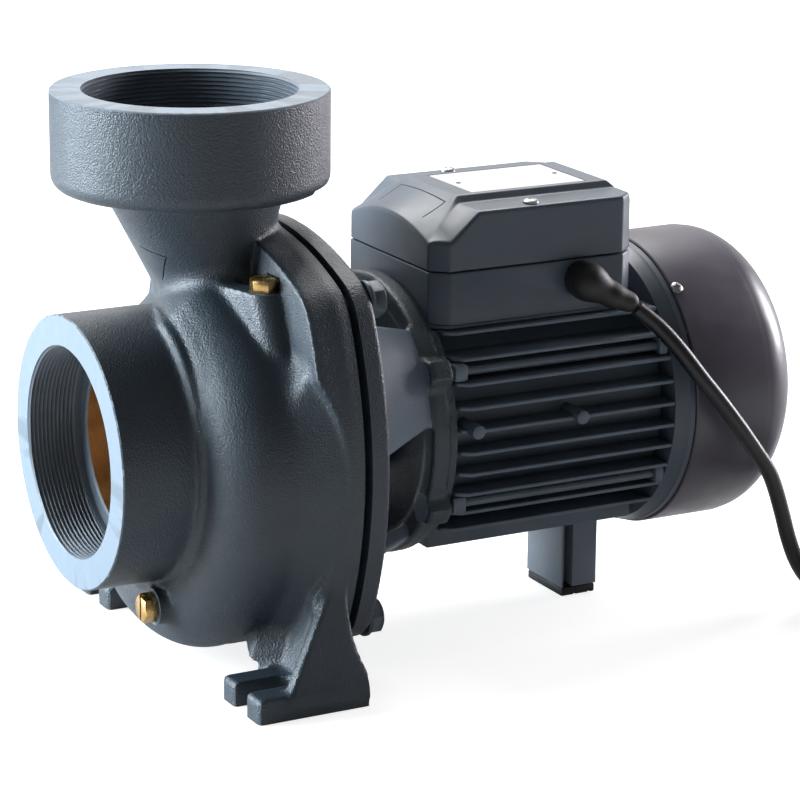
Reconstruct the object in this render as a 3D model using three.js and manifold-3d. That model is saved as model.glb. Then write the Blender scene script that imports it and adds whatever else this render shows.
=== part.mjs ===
// Close-coupled centrifugal water pump with a single-phase motor.
// Millimetres, +X from the suction port to the fan, +Z up, origin on the floor under the middle.
// Every stretch below is written along x from the front edge of the casing feet.
import * as THREE from 'three';
import { mergeVertices } from 'three/addons/utils/BufferGeometryUtils.js';
import { ConvexGeometry } from 'three/addons/geometries/ConvexGeometry.js';
import Module from 'manifold-3d';

const wasm = await Module();
wasm.setup();

// ---- driving dimensions ----
const SHAFT_Z = 120;
const GAP = 0.3; // between pieces that touch
const SUCTION_X = -52.8;
const COLLAR_R = 73;
const THREAD_R = 56; // G4 pipe thread, minor radius
const THREAD_DEPTH = 27;
const PORT_R = 47.5;
const OUTLET_X = 18.9;
const OUTLET_Z = 308;
const COLLAR_BOTTOM_Z = 256;
const NECK_BORE_R = 35;
const DRUM_R = 109.5;
const DRUM_Y = 4; // the volute is eccentric to the shaft
const DRUM_Z = SHAFT_Z - 5;
const VOLUTE_DIP = 0.187; // share of the volute's radius missing past the discharge
const VOLUTE_SHIFT = 9; // how much further back its front lies there
const CHAMBER_R = 94;
const CASING_FLANGE = [40, 63];
const BRACKET_FLANGE = [67.5, 78];
const FLANGE_HALF = 114; // half width at the middle of a bulged side
const FLANGE_CORNER = 94;
const FLANGE_ROUND = 8;
const BOLT_Y = 81;
const BOLT_Z = 86; // above and below the shaft
const BOLT_R = 5;
const BOLT_HEX_R = 9.8; // 17 mm across flats
const FOOT_Y = [75.2, 120.2];
const FOOT_LENGTH = 68.2;
const FOOT_THICK = 13.1;
const SLOT_Y = 97.3;
const SLOT_HALF = 6.65;
const SLOT_END_X = 23.4;
const VENT = [35, -55, 210];
const DRAIN = [-20, -33, 40];
const PLUG_HEX_R = 8.1; // 14 mm across flats
const CONE = [78, 92, 124, 76]; // lantern outside: x and radius at each end
const CONE_WALL = 8;
const SPIGOT_R = 93;
const SHIELD_X = [124, 138];
const SHIELD_R = 78;
const FRAME_X = [138.5, 273];
const FRAME_R = [60, 66];
const FIN_TIP_R = 80;
const FIN_PITCH = 12.2;
const FIN_THICK = 2;
const FIN_ROWS = 5; // on each side, above and below the shaft
const PAD_BOTTOM_Z = 50.5;
const PAD_HALF = 41;
const STUDS_X = [147, 211.5];
const TIE_Y = 66.5;
const TIE_Z = 36.6; // above and below the shaft
const TIE_R = 2.5;
const REAR_RING_X = [281, 285];
const REAR_RING_R = 82;
const STACK_X = [165, 245];
const ROTOR_R = 33;
const STATOR_BORE_R = 33.6;
const SLOTS = 24;
const IMPELLER_R = 68;
const EYE_R = [39.5, 43.6];
const BLADES = 6;
const COVER_X = [285.3, 363];
const COVER_R = 83.5;
const COVER_WALL = 2;
const FAN_BLADES = 8;
const BOX_X = [136, 262];
const BOX_HALF = 53;
const BOX_CHAMFER = 9;
const BOX_BOTTOM_Z = 176.3;
const BOX_SPLIT_Z = [206.9, 207.4];
const BOX_LEDGE_Z = 239;
const BOX_TOP_Z = 243;
const BOX_WALL = 4;
const TOP_HALF = 28;
const SLOPE = [226, 163]; // height at the box end and the x where the slope reaches the top
const BOX_SCREW = [198, 46];
const GLAND = [225.6, 196.2]; // x and z on the near wall of the box
const LABEL_X = [174, 245];
const LABEL_HALF = 24.3;
const SUPPORT_X = [239.2, 262.2];
const SUPPORT_HALF = 19.5;
const PAD_THICK = 5;
const CORD_R = 4.5;
const COIL = { x: 418, y: -121, inner: 31.7, outer: 59.3, height: 18.6 };
const PLUG_R = 17;

// ---- finishes ----
const finish = (color, roughness, metalness) =>
  new THREE.MeshStandardMaterial({ color, roughness, metalness });
const CASTING = finish(0x33475a, 0.55, 0.1);
const BRACKET = finish(0x4a5d70, 0.5, 0.1);
const FRAME = finish(0x2a3440, 0.45, 0.2);
const BOX_PLASTIC = finish(0x3d4a5c, 0.5, 0);
const COVER_PAINT = finish(0x2c2a33, 0.4, 0.1);
const RUBBER = finish(0x111111, 0.8, 0);
const STEEL = finish(0x9a9da0, 0.35, 0.9);
const DARK_STEEL = finish(0x2b3036, 0.5, 0.6);
const BRASS = finish(0xb5883f, 0.35, 0.9);
const COPPER = finish(0xa85a2e, 0.4, 0.8);
const GASKET = finish(0x1b1d20, 0.8, 0);
const NYLON = finish(0xd8d4c6, 0.6, 0);
const LABEL = finish(0xe6dcd9, 0.4, 0.2);
const CERAMIC = finish(0xcfcac0, 0.5, 0);

const pump = new THREE.Group();

// ---- solids from three.js geometry ----
const X = new THREE.Vector3(1, 0, 0);
const Y = new THREE.Vector3(0, 1, 0);
const Z = new THREE.Vector3(0, 0, 1);

function solid(geometry) {
  const bare = geometry.clone();
  bare.deleteAttribute('normal');
  bare.deleteAttribute('uv');
  const merged = mergeVertices(bare, 1e-3);
  const at = merged.attributes.position.array;
  const index = merged.index.array;
  const faces = [];
  let volume = 0;
  const corner = [new THREE.Vector3(), new THREE.Vector3(), new THREE.Vector3()];
  for (let i = 0; i < index.length; i += 3) {
    const face = [index[i], index[i + 1], index[i + 2]];
    if (new Set(face).size === 3) {
      faces.push(face);
      face.forEach((v, k) => corner[k].fromArray(at, 3 * v));
      volume += corner[0].dot(corner[1].cross(corner[2]));
    }
  }
  const outward = volume < 0 ? faces.map(([a, b, c]) => [a, c, b]) : faces;
  return new wasm.Manifold(new wasm.Mesh({
    numProp: 3,
    vertProperties: new Float32Array(at),
    triVerts: new Uint32Array(outward.flat()),
  }));
}

// A body turned about the shaft, from [x, radius] pairs.
function turned(profile, segments = 24, y = 0, z = SHAFT_Z) {
  const points = profile.map(([x, r]) => new THREE.Vector2(r, x));
  const geometry = new THREE.LatheGeometry(points, segments);
  geometry.rotateZ(-Math.PI / 2);
  return solid(geometry.translate(0, y, z));
}

// A body turned about an upright line through (x, y), from [z, radius] pairs.
function upright(x, y, profile, segments = 24) {
  const points = profile.map(([z, r]) => new THREE.Vector2(r, z));
  const geometry = new THREE.LatheGeometry(points, segments);
  geometry.rotateX(Math.PI / 2);
  return solid(geometry.translate(x, y, 0));
}

const ring = (x0, x1, inner, outer, segments = 20) =>
  turned([[x0, inner], [x1, inner], [x1, outer], [x0, outer], [x0, inner]], segments);
const disc = (x0, x1, radius, segments) =>
  turned([[x0, 0], [x0, radius], [x1, radius], [x1, 0]], segments);

function box(x0, x1, y0, y1, z0, z1) {
  const geometry = new THREE.BoxGeometry(x1 - x0, y1 - y0, z1 - z0);
  return solid(geometry.translate((x0 + x1) / 2, (y0 + y1) / 2, (z0 + z1) / 2));
}

// A rod along x at (y, z), or a hexagon where there are six segments.
function rod(x0, x1, y, z, radius, segments = 12) {
  const geometry = new THREE.CylinderGeometry(radius, radius, x1 - x0, segments);
  geometry.rotateZ(-Math.PI / 2);
  return solid(geometry.translate((x0 + x1) / 2, y, z));
}

function post(x, y, z0, z1, radius, segments = 12) {
  const geometry = new THREE.CylinderGeometry(radius, radius, z1 - z0, segments);
  geometry.rotateX(Math.PI / 2);
  return solid(geometry.translate(x, y, (z0 + z1) / 2));
}

function extruded(shape, depth, across, up, along, start, curveSegments = 6) {
  const geometry = new THREE.ExtrudeGeometry(shape, { depth, bevelEnabled: false, curveSegments });
  geometry.applyMatrix4(new THREE.Matrix4().makeBasis(across, up, along));
  return solid(geometry.translate(start.x, start.y, start.z));
}
const alongX = (shape, x0, x1, segments) =>
  extruded(shape, x1 - x0, Y, Z, X, new THREE.Vector3(x0, 0, SHAFT_Z), segments);
const alongZ = (shape, z0, z1, segments) =>
  extruded(shape, z1 - z0, X, Y, Z, new THREE.Vector3(0, 0, z0), segments);
const alongY = (shape, y0, y1, segments) =>
  extruded(shape, y1 - y0, X, Z, Y.clone().negate(), new THREE.Vector3(0, y1, 0), segments);

const polygon = (points) => new THREE.Shape(points.map(([a, b]) => new THREE.Vector2(a, b)));
const hull = (points) => solid(new ConvexGeometry(points.map((p) => new THREE.Vector3(...p))));
const joined = (solids) => solids.reduce((a, b) => a.add(b));
const mirrored = (make) => [make(-1), make(1)];
const circlePoints = (x, y, z, radius, count) => Array.from({ length: count }, (_, i) => {
  const a = (2 * Math.PI * i) / count;
  return [x + radius * Math.cos(a), y + radius * Math.sin(a), z];
});
const turn = (body, degrees) =>
  body.translate([0, 0, -SHAFT_Z]).rotate([degrees, 0, 0]).translate([0, 0, SHAFT_Z]);

function piece(name, body, material) {
  const { vertProperties, triVerts } = body.getMesh();
  const geometry = new THREE.BufferGeometry();
  geometry.setAttribute('position', new THREE.BufferAttribute(vertProperties, 3));
  geometry.setIndex(new THREE.BufferAttribute(triVerts, 1));
  geometry.computeVertexNormals();
  const mesh = new THREE.Mesh(geometry, material);
  mesh.name = name;
  pump.add(mesh);
}

// ---- pump casing ----
// The flange outline: a square with bulged sides and small rounded corners.
function flangeShape() {
  const end = FLANGE_CORNER - FLANGE_ROUND;
  const bulge = 2 * FLANGE_HALF - FLANGE_CORNER;
  const shape = new THREE.Shape();
  shape.moveTo(FLANGE_CORNER, -end);
  shape.quadraticCurveTo(bulge, 0, FLANGE_CORNER, end);
  shape.quadraticCurveTo(FLANGE_CORNER, FLANGE_CORNER, end, FLANGE_CORNER);
  shape.quadraticCurveTo(0, bulge, -end, FLANGE_CORNER);
  shape.quadraticCurveTo(-FLANGE_CORNER, FLANGE_CORNER, -FLANGE_CORNER, end);
  shape.quadraticCurveTo(-bulge, 0, -FLANGE_CORNER, -end);
  shape.quadraticCurveTo(-FLANGE_CORNER, -FLANGE_CORNER, -end, -FLANGE_CORNER);
  shape.quadraticCurveTo(0, -bulge, end, -FLANGE_CORNER);
  shape.quadraticCurveTo(FLANGE_CORNER, -FLANGE_CORNER, FLANGE_CORNER, -end);
  return shape;
}

function foot(side) {
  const [inner, outer] = FOOT_Y;
  const y0 = side > 0 ? inner : -outer;
  const base = box(0, FOOT_LENGTH, y0, y0 + outer - inner, 0, FOOT_THICK);
  const wall = hull([
    [17, side * outer, 12], [66, side * outer, 12], [17, side * 112, 12], [66, side * 112, 12],
    [40, side * 106, 72], [58, side * 106, 72], [40, side * 96, 72], [58, side * 96, 72],
  ]);
  const web = hull([
    [30, side * 76, 12], [60, side * 76, 12], [30, side * 114, 12], [60, side * 114, 12],
    [40, side * 50, 45], [60, side * 50, 45], [40, side * 98, 66], [60, side * 98, 66],
  ]);
  const slot = box(-1, SLOT_END_X, side * SLOT_Y - SLOT_HALF, side * SLOT_Y + SLOT_HALF, -1, 14)
    .add(post(SLOT_END_X, side * SLOT_Y, -1, 14, SLOT_HALF));
  return joined([base, wall, web]).subtract(slot);
}

const boltPlaces = [];
for (const side of [-1, 1]) {
  for (const level of [1, -1]) {
    boltPlaces.push([side * BOLT_Y, SHAFT_Z + level * BOLT_Z]);
  }
}

// 0 where the volute is full and 1 where it starts, by the angle from the near side upward.
function volutePinch(angle) {
  const turns = angle < 0 ? angle + 2 * Math.PI : angle;
  const opening = THREE.MathUtils.smoothstep(turns, 1.2, 1.75);
  const growing = THREE.MathUtils.clamp((4.4 - turns) / 2, 0, 1);
  return Math.min(opening, growing);
}

// The volute: a drum whose radius grows from the discharge round the far side to the near side.
function volute() {
  const end = CASING_FLANGE[0] + 1;
  const full = turned([
    [-4, 0], [-4, 70], [-9.5, 76], [-8.6, 86], [-1.9, 98.5], [7.6, 106], [22, DRUM_R],
    [end, DRUM_R], [end, 0],
  ], 40, DRUM_Y, DRUM_Z);
  return full.warp((at) => {
    const y = at[1] - DRUM_Y;
    const z = at[2] - DRUM_Z;
    const pinch = volutePinch(Math.atan2(z, -y));
    const scale = 1 - VOLUTE_DIP * pinch;
    at[1] = DRUM_Y + y * scale;
    at[2] = DRUM_Z + z * scale;
    if (at[0] < end - 1 && Math.hypot(y, z) > 1) {
      at[0] += VOLUTE_SHIFT * pinch;
    }
  });
}

function voluteCasing() {
  const suctionCollar = disc(SUCTION_X, 8.4, COLLAR_R, 40);
  const flange = alongX(flangeShape(), ...CASING_FLANGE);
  const outletCollar = upright(OUTLET_X, 0, [
    [COLLAR_BOTTOM_Z, 0], [COLLAR_BOTTOM_Z, 62], [259, 69], [265, COLLAR_R],
    [OUTLET_Z, COLLAR_R], [OUTLET_Z, 0],
  ], 40);
  const neck = hull([
    ...circlePoints(20, 0, 262, 46, 24), ...circlePoints(22, 0, 240, 40.5, 24),
    [14, -46, 190], [60, -50, 190], [24, 44, 190], [44, 76, 190], [60, 78, 190], [12, 0, 190],
  ]);
  const ventBoss = post(VENT[0], VENT[1], 180, VENT[2], 13, 20);
  const drainBoss = rod(DRAIN[0], 0, DRAIN[1], DRAIN[2], 12, 20);
  const outside = joined([
    volute(), suctionCollar, flange, outletCollar, neck, ventBoss, drainBoss, foot(-1), foot(1),
  ]);
  const waterway = turned([
    [-60, 0], [-60, 58], [SUCTION_X, 58], [SUCTION_X + 2, THREAD_R],
    [SUCTION_X + THREAD_DEPTH + 2, THREAD_R], [SUCTION_X + THREAD_DEPTH + 2, PORT_R],
    [0, PORT_R], [0, 44.2], [9, 44.2], [9, 58], [11, 72], [18, 81], [56, 81],
    [56, CHAMBER_R], [70, CHAMBER_R], [70, 0],
  ], 32);
  const chamber = turned([
    [2, 70], [2, 76], [8, 84], [18, 91], [30, 92], [50, 92], [50, 70], [2, 70],
  ], 32, -2, 105);
  const neckWay = hull([
    ...circlePoints(19, 0, 262, NECK_BORE_R, 24), ...circlePoints(22, 0, 240, 31, 24),
    ...circlePoints(34, 0, 184, 18, 24),
  ]);
  const outletWay = upright(OUTLET_X, 0, [
    [261, 0], [261, NECK_BORE_R], [268, NECK_BORE_R], [OUTLET_Z - THREAD_DEPTH - 2, PORT_R],
    [OUTLET_Z - THREAD_DEPTH - 2, THREAD_R], [OUTLET_Z - 2, THREAD_R], [OUTLET_Z, 58],
    [OUTLET_Z + 5, 58], [OUTLET_Z + 5, 0],
  ], 32);
  const ventHole = post(VENT[0], VENT[1], 172, VENT[2] + 5, 4.3, 12)
    .add(post(VENT[0], VENT[1], VENT[2], VENT[2] + 14, 10.5, 16));
  const drainHole = rod(DRAIN[0] - 5, 4, DRAIN[1], DRAIN[2], 4.3, 12)
    .add(rod(DRAIN[0] - 12, DRAIN[0], DRAIN[1], DRAIN[2], 10, 16));
  const boltHoles = boltPlaces.map(([y, z]) => rod(43, 70, y, z, BOLT_R + GAP, 8));
  return [waterway, chamber, neckWay, outletWay, ventHole, drainHole, ...boltHoles]
    .reduce((body, cut) => body.subtract(cut), outside);
}
piece('volute_casing', voluteCasing(), CASTING);
piece('casing_gasket', ring(CASING_FLANGE[1] + GAP, BRACKET_FLANGE[0] - GAP, 96, 107, 32), GASKET);

const ventPlug = post(VENT[0], VENT[1], VENT[2] + GAP, VENT[2] + 7.5, PLUG_HEX_R, 6)
  .add(post(VENT[0], VENT[1], 197, VENT[2] + 1, 4, 12))
  .subtract(box(26, 44, VENT[1] - 1, VENT[1] + 1, VENT[2] + 5, VENT[2] + 9));
piece('vent_plug', ventPlug, BRASS);
const drainPlug = rod(DRAIN[0] - 7.5, DRAIN[0] - GAP, DRAIN[1], DRAIN[2], PLUG_HEX_R, 6)
  .add(rod(DRAIN[0] - 1, -6, DRAIN[1], DRAIN[2], 4, 12))
  .subtract(box(-30, DRAIN[0] - 5, DRAIN[1] - 1, DRAIN[1] + 1, DRAIN[2] - 10, DRAIN[2] + 10));
piece('drain_plug', drainPlug, BRASS);

// ---- motor bracket: flange, open lantern and front end shield in one casting ----
const fromShaft = (x, degrees, radius, side) => {
  const a = THREE.MathUtils.degToRad(degrees);
  return [x, side * radius * Math.cos(a), SHAFT_Z + radius * Math.sin(a)];
};
const tiePlaces = [];
for (const side of [-1, 1]) {
  for (const level of [1, -1]) {
    tiePlaces.push([side * TIE_Y, SHAFT_Z + level * TIE_Z]);
  }
}

function motorBracket() {
  const [coneX0, coneR0, coneX1, coneR1] = CONE;
  const cone = turned([
    [coneX0 - 1, coneR0 - CONE_WALL], [coneX0 - 1, coneR0], [coneX1 + 1, coneR1],
    [coneX1 + 1, coneR1 - CONE_WALL], [coneX0 - 1, coneR0 - CONE_WALL],
  ], 32);
  const window = (side) => hull([
    ...[50, 120].flatMap((radius) => [
      fromShaft(coneX0 + 3, -48, radius, side), fromShaft(coneX0 + 3, -1, radius, side),
      fromShaft(coneX1, -48, radius, side), fromShaft(coneX1, 9, radius, side),
    ]),
  ]);
  const lantern = mirrored(window).reduce((body, cut) => body.subtract(cut), cone);
  const flange = alongX(flangeShape(), ...BRACKET_FLANGE);
  const spigot = ring(60, BRACKET_FLANGE[0] + 1, 86, SPIGOT_R, 32);
  const [shieldX0, shieldX1] = SHIELD_X;
  const shield = turned([
    [118, 14], [146, 14], [146, 33], [134, 36], [134, 54], [144, 55], [144, FRAME_R[0] - 2 * GAP],
    [shieldX1, FRAME_R[0] - 2 * GAP], [shieldX1, 75.5], [133, SHIELD_R], [shieldX0, SHIELD_R],
    [shieldX0, 64], [127, 34], [118, 30], [118, 14],
  ], 32);
  const lugs = tiePlaces.map(([y, z]) => rod(shieldX0, 136, y, z, 9, 6));
  const body = joined([lantern, flange, spigot, shield, ...lugs]);
  const cuts = [
    disc(BRACKET_FLANGE[0] - 1, 73, 17.3, 24), disc(72, 80, 12.8, 24), disc(126, 150, 26.3, 32),
    ...boltPlaces.map(([y, z]) => rod(60, 85, y, z, BOLT_R + GAP, 8)),
    ...tiePlaces.map(([y, z]) => rod(126, 140, y, z, TIE_R + 2 * GAP, 8)),
    box(BOX_X[0] - 0.4, 150, -60, 60, BOX_BOTTOM_Z - 0.4, 220).subtract(disc(130, 160, FRAME_R[0])),
  ];
  return cuts.reduce((solidBody, cut) => solidBody.subtract(cut), body);
}
piece('motor_bracket', motorBracket(), BRACKET);

boltPlaces.forEach(([y, z], i) => {
  const head = rod(80.3, 88, y, z, BOLT_HEX_R, 6);
  const washer = rod(BRACKET_FLANGE[1] + GAP, 81, y, z, 10.5);
  piece(`flange_bolt_${i + 1}`, joined([head, washer, rod(47, 81, y, z, BOLT_R - GAP, 8)]), DARK_STEEL);
});

// ---- shaft and what turns with it ----
const KEY = { x: [28, 46], half: 2.5, from: 5, to: 10.5 };
const keyway = box(KEY.x[0] - GAP, KEY.x[1] + GAP, -KEY.half - GAP, KEY.half + GAP,
  SHAFT_Z + KEY.from - GAP, SHAFT_Z + KEY.to + GAP);
const shaft = turned([
  [8, 0], [8, 7], [22, 7], [22, 8], [58, 8], [58, 10], [122, 10], [122, 12.2], [146, 12.2],
  [146, 14], [262, 14], [262, 8.2], [312, 8.2], [312, 0],
], 24).subtract(keyway);
piece('shaft', shaft, STEEL);
piece('impeller_key', box(KEY.x[0], KEY.x[1], -KEY.half, KEY.half,
  SHAFT_Z + KEY.from, SHAFT_Z + KEY.to), STEEL);
const rotorCore = turned([
  [155, 14.3], [155, 24], [158, 31], [STACK_X[0], 31], [STACK_X[0], ROTOR_R],
  [STACK_X[1], ROTOR_R], [STACK_X[1], 31], [252, 31], [255, 24], [255, 14.3], [155, 14.3],
], 24);
piece('rotor_core', rotorCore, STEEL);

// A backward-curved blade, seen along the shaft.
function bladeShape() {
  const shape = new THREE.Shape();
  shape.moveTo(26, -2);
  shape.quadraticCurveTo(52, 0, 63, 25);
  shape.lineTo(59.5, 27);
  shape.quadraticCurveTo(49, 4, 26, 2);
  return shape;
}

function impeller() {
  const backShroud = turned([
    [22.3, 8.3], [57.7, 8.3], [57.7, 14], [52, 16], [52, IMPELLER_R], [48, IMPELLER_R],
    [44, 20], [22.3, 12.5], [22.3, 8.3],
  ]);
  const frontShroud = turned([
    [1.5, EYE_R[0]], [1.5, EYE_R[1]], [17, EYE_R[1]], [24, IMPELLER_R], [27, IMPELLER_R],
    [20, EYE_R[0] + 2], [14, EYE_R[0]], [1.5, EYE_R[0]],
  ]);
  const between = turned([[15, 0], [15, 41], [25.5, 68], [49, 68], [49, 0]]);
  const blades = Array.from({ length: BLADES }, (_, i) =>
    turn(alongX(bladeShape(), 14, 50, 3), (360 * i) / BLADES));
  return joined([backShroud, frontShroud, ...blades.map((blade) => blade.intersect(between))])
    .subtract(keyway);
}
piece('impeller', impeller(), BRASS);
piece('impeller_washer', ring(19.8, 22, 7 + GAP, 13, 24), STEEL);
piece('impeller_nut', rod(10, 19.5, 0, SHAFT_Z, 12.1, 6)
  .subtract(disc(5, 25, 7 + GAP, 24)), STEEL);
piece('seal_rotary', turned([
  [58.3, 10.3], [58.3, 17.5], [60, 17.5], [62, 15.5], [68.5, 15.5], [68.5, 10.3], [58.3, 10.3],
], 24), DARK_STEEL);
piece('seal_seat', ring(68.9, 72.7, 11, 17, 24), CERAMIC);
piece('slinger_ring', turned([
  [98, 10.3], [98, 14], [99, 24], [101, 24], [103, 14], [103, 10.3], [98, 10.3],
], 24), RUBBER);

// ---- bearings ----
function bearing(name, x0, x1, bore, innerR, outerR, outside, balls) {
  const middle = (x0 + x1) / 2;
  const ballRing = (innerR + outerR) / 2;
  const ballR = (outerR - innerR) / 2 - GAP;
  piece(`${name}_inner_ring`, ring(x0, x1, bore, innerR, 24), STEEL);
  piece(`${name}_outer_ring`, ring(x0, x1, outerR, outside, 32), STEEL);
  const cage = ring(middle - 1.2, middle + 1.2, ballRing - 1, ballRing + 1, 16);
  const oneBall = solid(new THREE.SphereGeometry(ballR, 8, 5)
    .translate(middle, ballRing, SHAFT_Z));
  const set = Array.from({ length: balls }, (_, i) => turn(oneBall, (360 * i) / balls));
  piece(`${name}_ball_cage`, joined([cage, ...set]), STEEL);
}
bearing('front_bearing', 126.3, 141, 12.5, 16.4, 22.6, 26, 8);
bearing('rear_bearing', 268, 280, 8.5, 11.9, 17.2, 20, 7);
piece('wave_washer', ring(280.3, 281.2, 15, 19.6, 24), STEEL);

// ---- motor frame and stator ----
function frameFin(side, level) {
  const height = SHAFT_Z + level * FIN_PITCH;
  const tip = Math.sqrt(FIN_TIP_R ** 2 - (level * FIN_PITCH) ** 2);
  const root = Math.sqrt(FRAME_R[1] ** 2 - (Math.abs(level) * FIN_PITCH + 1) ** 2) - 1.5;
  const [x0, x1] = FRAME_X;
  const shape = polygon([[x0, side * root], [x0 + 7, side * tip], [x1, side * tip],
    [x1, side * root]]);
  return alongZ(shape, height - FIN_THICK / 2, height + FIN_THICK / 2);
}

function motorFrame() {
  const barrel = ring(...FRAME_X, ...FRAME_R, 40);
  const fins = [];
  for (const side of [-1, 1]) {
    for (let row = 0; row < FIN_ROWS; row += 1) {
      fins.push(frameFin(side, row + 0.5), frameFin(side, -row - 0.5));
    }
  }
  const pad = box(FRAME_X[0] + 1, FRAME_X[1] - 3, -PAD_HALF, PAD_HALF, PAD_BOTTOM_Z, 59)
    .subtract(disc(FRAME_X[0] - 1, FRAME_X[1] + 1, FRAME_R[1] - 1, 40));
  const studs = STUDS_X.flatMap((x) => mirrored((side) =>
    alongY(new THREE.Shape().absarc(x, 127, 3.75, 0, 2 * Math.PI),
      side < 0 ? -84 : 64, side < 0 ? -64 : 84, 10)));
  const wireHole = post(200, 0, 170, 190, 9, 16);
  const footHole = post(252.5, 0, 48, 57, 4.3, 12);
  return joined([barrel, ...fins, pad, ...studs]).subtract(wireHole).subtract(footHole);
}
piece('motor_frame', motorFrame(), FRAME);

// A slot outline at radius r0 to r1, turned to one of the stator's slots.
function slotPoints(index, r0, r1, half) {
  const a = (2 * Math.PI * (index + 0.5)) / SLOTS;
  return [[r0, -half], [r1, -half], [r1, half], [r0, half]].map(([r, w]) =>
    new THREE.Vector2(r * Math.cos(a) - w * Math.sin(a), r * Math.sin(a) + w * Math.cos(a)));
}

function statorCore() {
  const shape = new THREE.Shape();
  shape.absarc(0, 0, FRAME_R[0] - GAP, 0, 2 * Math.PI);
  const bore = new THREE.Path();
  bore.absarc(0, 0, STATOR_BORE_R, 0, 2 * Math.PI);
  shape.holes.push(bore);
  for (let i = 0; i < SLOTS; i += 1) {
    shape.holes.push(new THREE.Path(slotPoints(i, 37, 50.5, 2.9)));
  }
  return alongX(shape, ...STACK_X, 24);
}

function statorWinding() {
  const bars = [];
  for (let i = 0; i < SLOTS; i += 1) {
    bars.push(alongX(new THREE.Shape(slotPoints(i, 38, 50, 2.4)), 160, 250));
  }
  const endTurns = [[149, 164.6], [245.4, 261]].map(([x0, x1]) => turned([
    [x0, 42], [x0, 50], [x0 + 3, 53], [x1 - 3, 53], [x1, 51], [x1, 37.5], [x0 + 4, 37.5],
    [x0, 42],
  ], 24));
  return joined([...bars, ...endTurns]);
}
piece('stator_core', statorCore(), DARK_STEEL);
piece('stator_winding', statorWinding(), COPPER);

function rearShield() {
  const body = turned([
    [264, 9.2], [286, 9.2], [286, 24], [284, 28], [284, 76.5], [291, 76.5], [291, 80.8],
    [REAR_RING_X[1], 80.8], [REAR_RING_X[1], REAR_RING_R], [REAR_RING_X[0], REAR_RING_R],
    [273.4, 79], [273.4, FRAME_R[0] - 2 * GAP], [267, FRAME_R[0] - 2 * GAP],
    [267, 55], [279, 54], [279, 27], [264, 25], [264, 9.2],
  ], 32);
  const cuts = [
    disc(260, 281.5, 20.3, 30),
    ...tiePlaces.map(([y, z]) => rod(270, 285, y, z, TIE_R + 2 * GAP, 8)),
    ...tiePlaces.map(([y, z]) => rod(284.9, 295, y, z, 6.5, 8)),
  ];
  return cuts.reduce((solidBody, cut) => solidBody.subtract(cut), body);
}
piece('rear_end_shield', rearShield(), BRACKET);

tiePlaces.forEach(([y, z], i) => {
  const head = rod(285.3, 289, y, z, 4.6, 6);
  piece(`tie_rod_${i + 1}`, head.add(rod(126.5, 286, y, z, TIE_R, 8)), STEEL);
});

// ---- fan and its cover ----
function coolingFan() {
  const hub = ring(290, 306, 8.5, 15, 24);
  const plate = ring(299, 301.5, 12, 46, 32);
  const blade = box(294, 318, -1.2, 1.2, SHAFT_Z + 12, SHAFT_Z + 70);
  const blades = Array.from({ length: FAN_BLADES }, (_, i) => turn(blade, (360 * i) / FAN_BLADES));
  return joined([hub, plate, ...blades]).subtract(disc(300, 325, 12.2, 24));
}
piece('cooling_fan', coolingFan(), NYLON);
piece('fan_clip', ring(306.4, 307.6, 8.5, 11.4, 16), STEEL);

const coverScrewAngles = [-90, 130];
function fanCover() {
  const [front, rear] = COVER_X;
  const outer = [
    [front, COVER_R - 1.5], [331, COVER_R], [342, 79.5], [353, 69], [361, 54], [rear, 40],
  ];
  const inner = [
    [rear - COVER_WALL, 40], [359, 53], [351.5, 67.5], [341, 77.6],
    [331, COVER_R - COVER_WALL], [front, COVER_R - COVER_WALL - 0.3],
  ];
  const shell = turned([[rear, 0], ...outer.reverse(), ...inner.reverse(),
    [rear - COVER_WALL, 0]], 36);
  const slot = box(355, 366, -2.6, 2.6, SHAFT_Z + 15, SHAFT_Z + 46);
  const slots = Array.from({ length: 16 }, (_, i) => turn(slot, (360 * (i + 0.5)) / 16));
  const screwHole = post(288.2, 0, SHAFT_Z + 78, SHAFT_Z + 90, 2.3, 10);
  const holes = coverScrewAngles.map((angle) => turn(screwHole, angle - 90));
  return [...slots, ...holes].reduce((body, cut) => body.subtract(cut), shell);
}
piece('fan_cover', fanCover(), COVER_PAINT);
coverScrewAngles.forEach((angle, i) => {
  const screw = post(288.2, 0, SHAFT_Z + 82.5, SHAFT_Z + 84.5, 3.6, 16)
    .add(post(288.2, 0, SHAFT_Z + 81.1, SHAFT_Z + 83, 1.9, 10));
  piece(`fan_cover_screw_${i + 1}`, turn(screw, angle - 90), STEEL);
});

// ---- terminal box ----
function boxShape(inset) {
  const [x0, x1] = [BOX_X[0] + inset, BOX_X[1] - inset];
  const half = BOX_HALF - inset;
  const cut = BOX_CHAMFER - 0.6 * inset;
  return polygon([
    [x0 + cut, -half], [x1 - cut, -half], [x1, cut - half], [x1, half - cut],
    [x1 - cut, half], [x0 + cut, half], [x0, half - cut], [x0, cut - half],
  ]);
}
const screwPosts = (z0, z1, radius) =>
  mirrored((side) => post(BOX_SCREW[0], side * BOX_SCREW[1], z0, z1, radius, 12));

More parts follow.
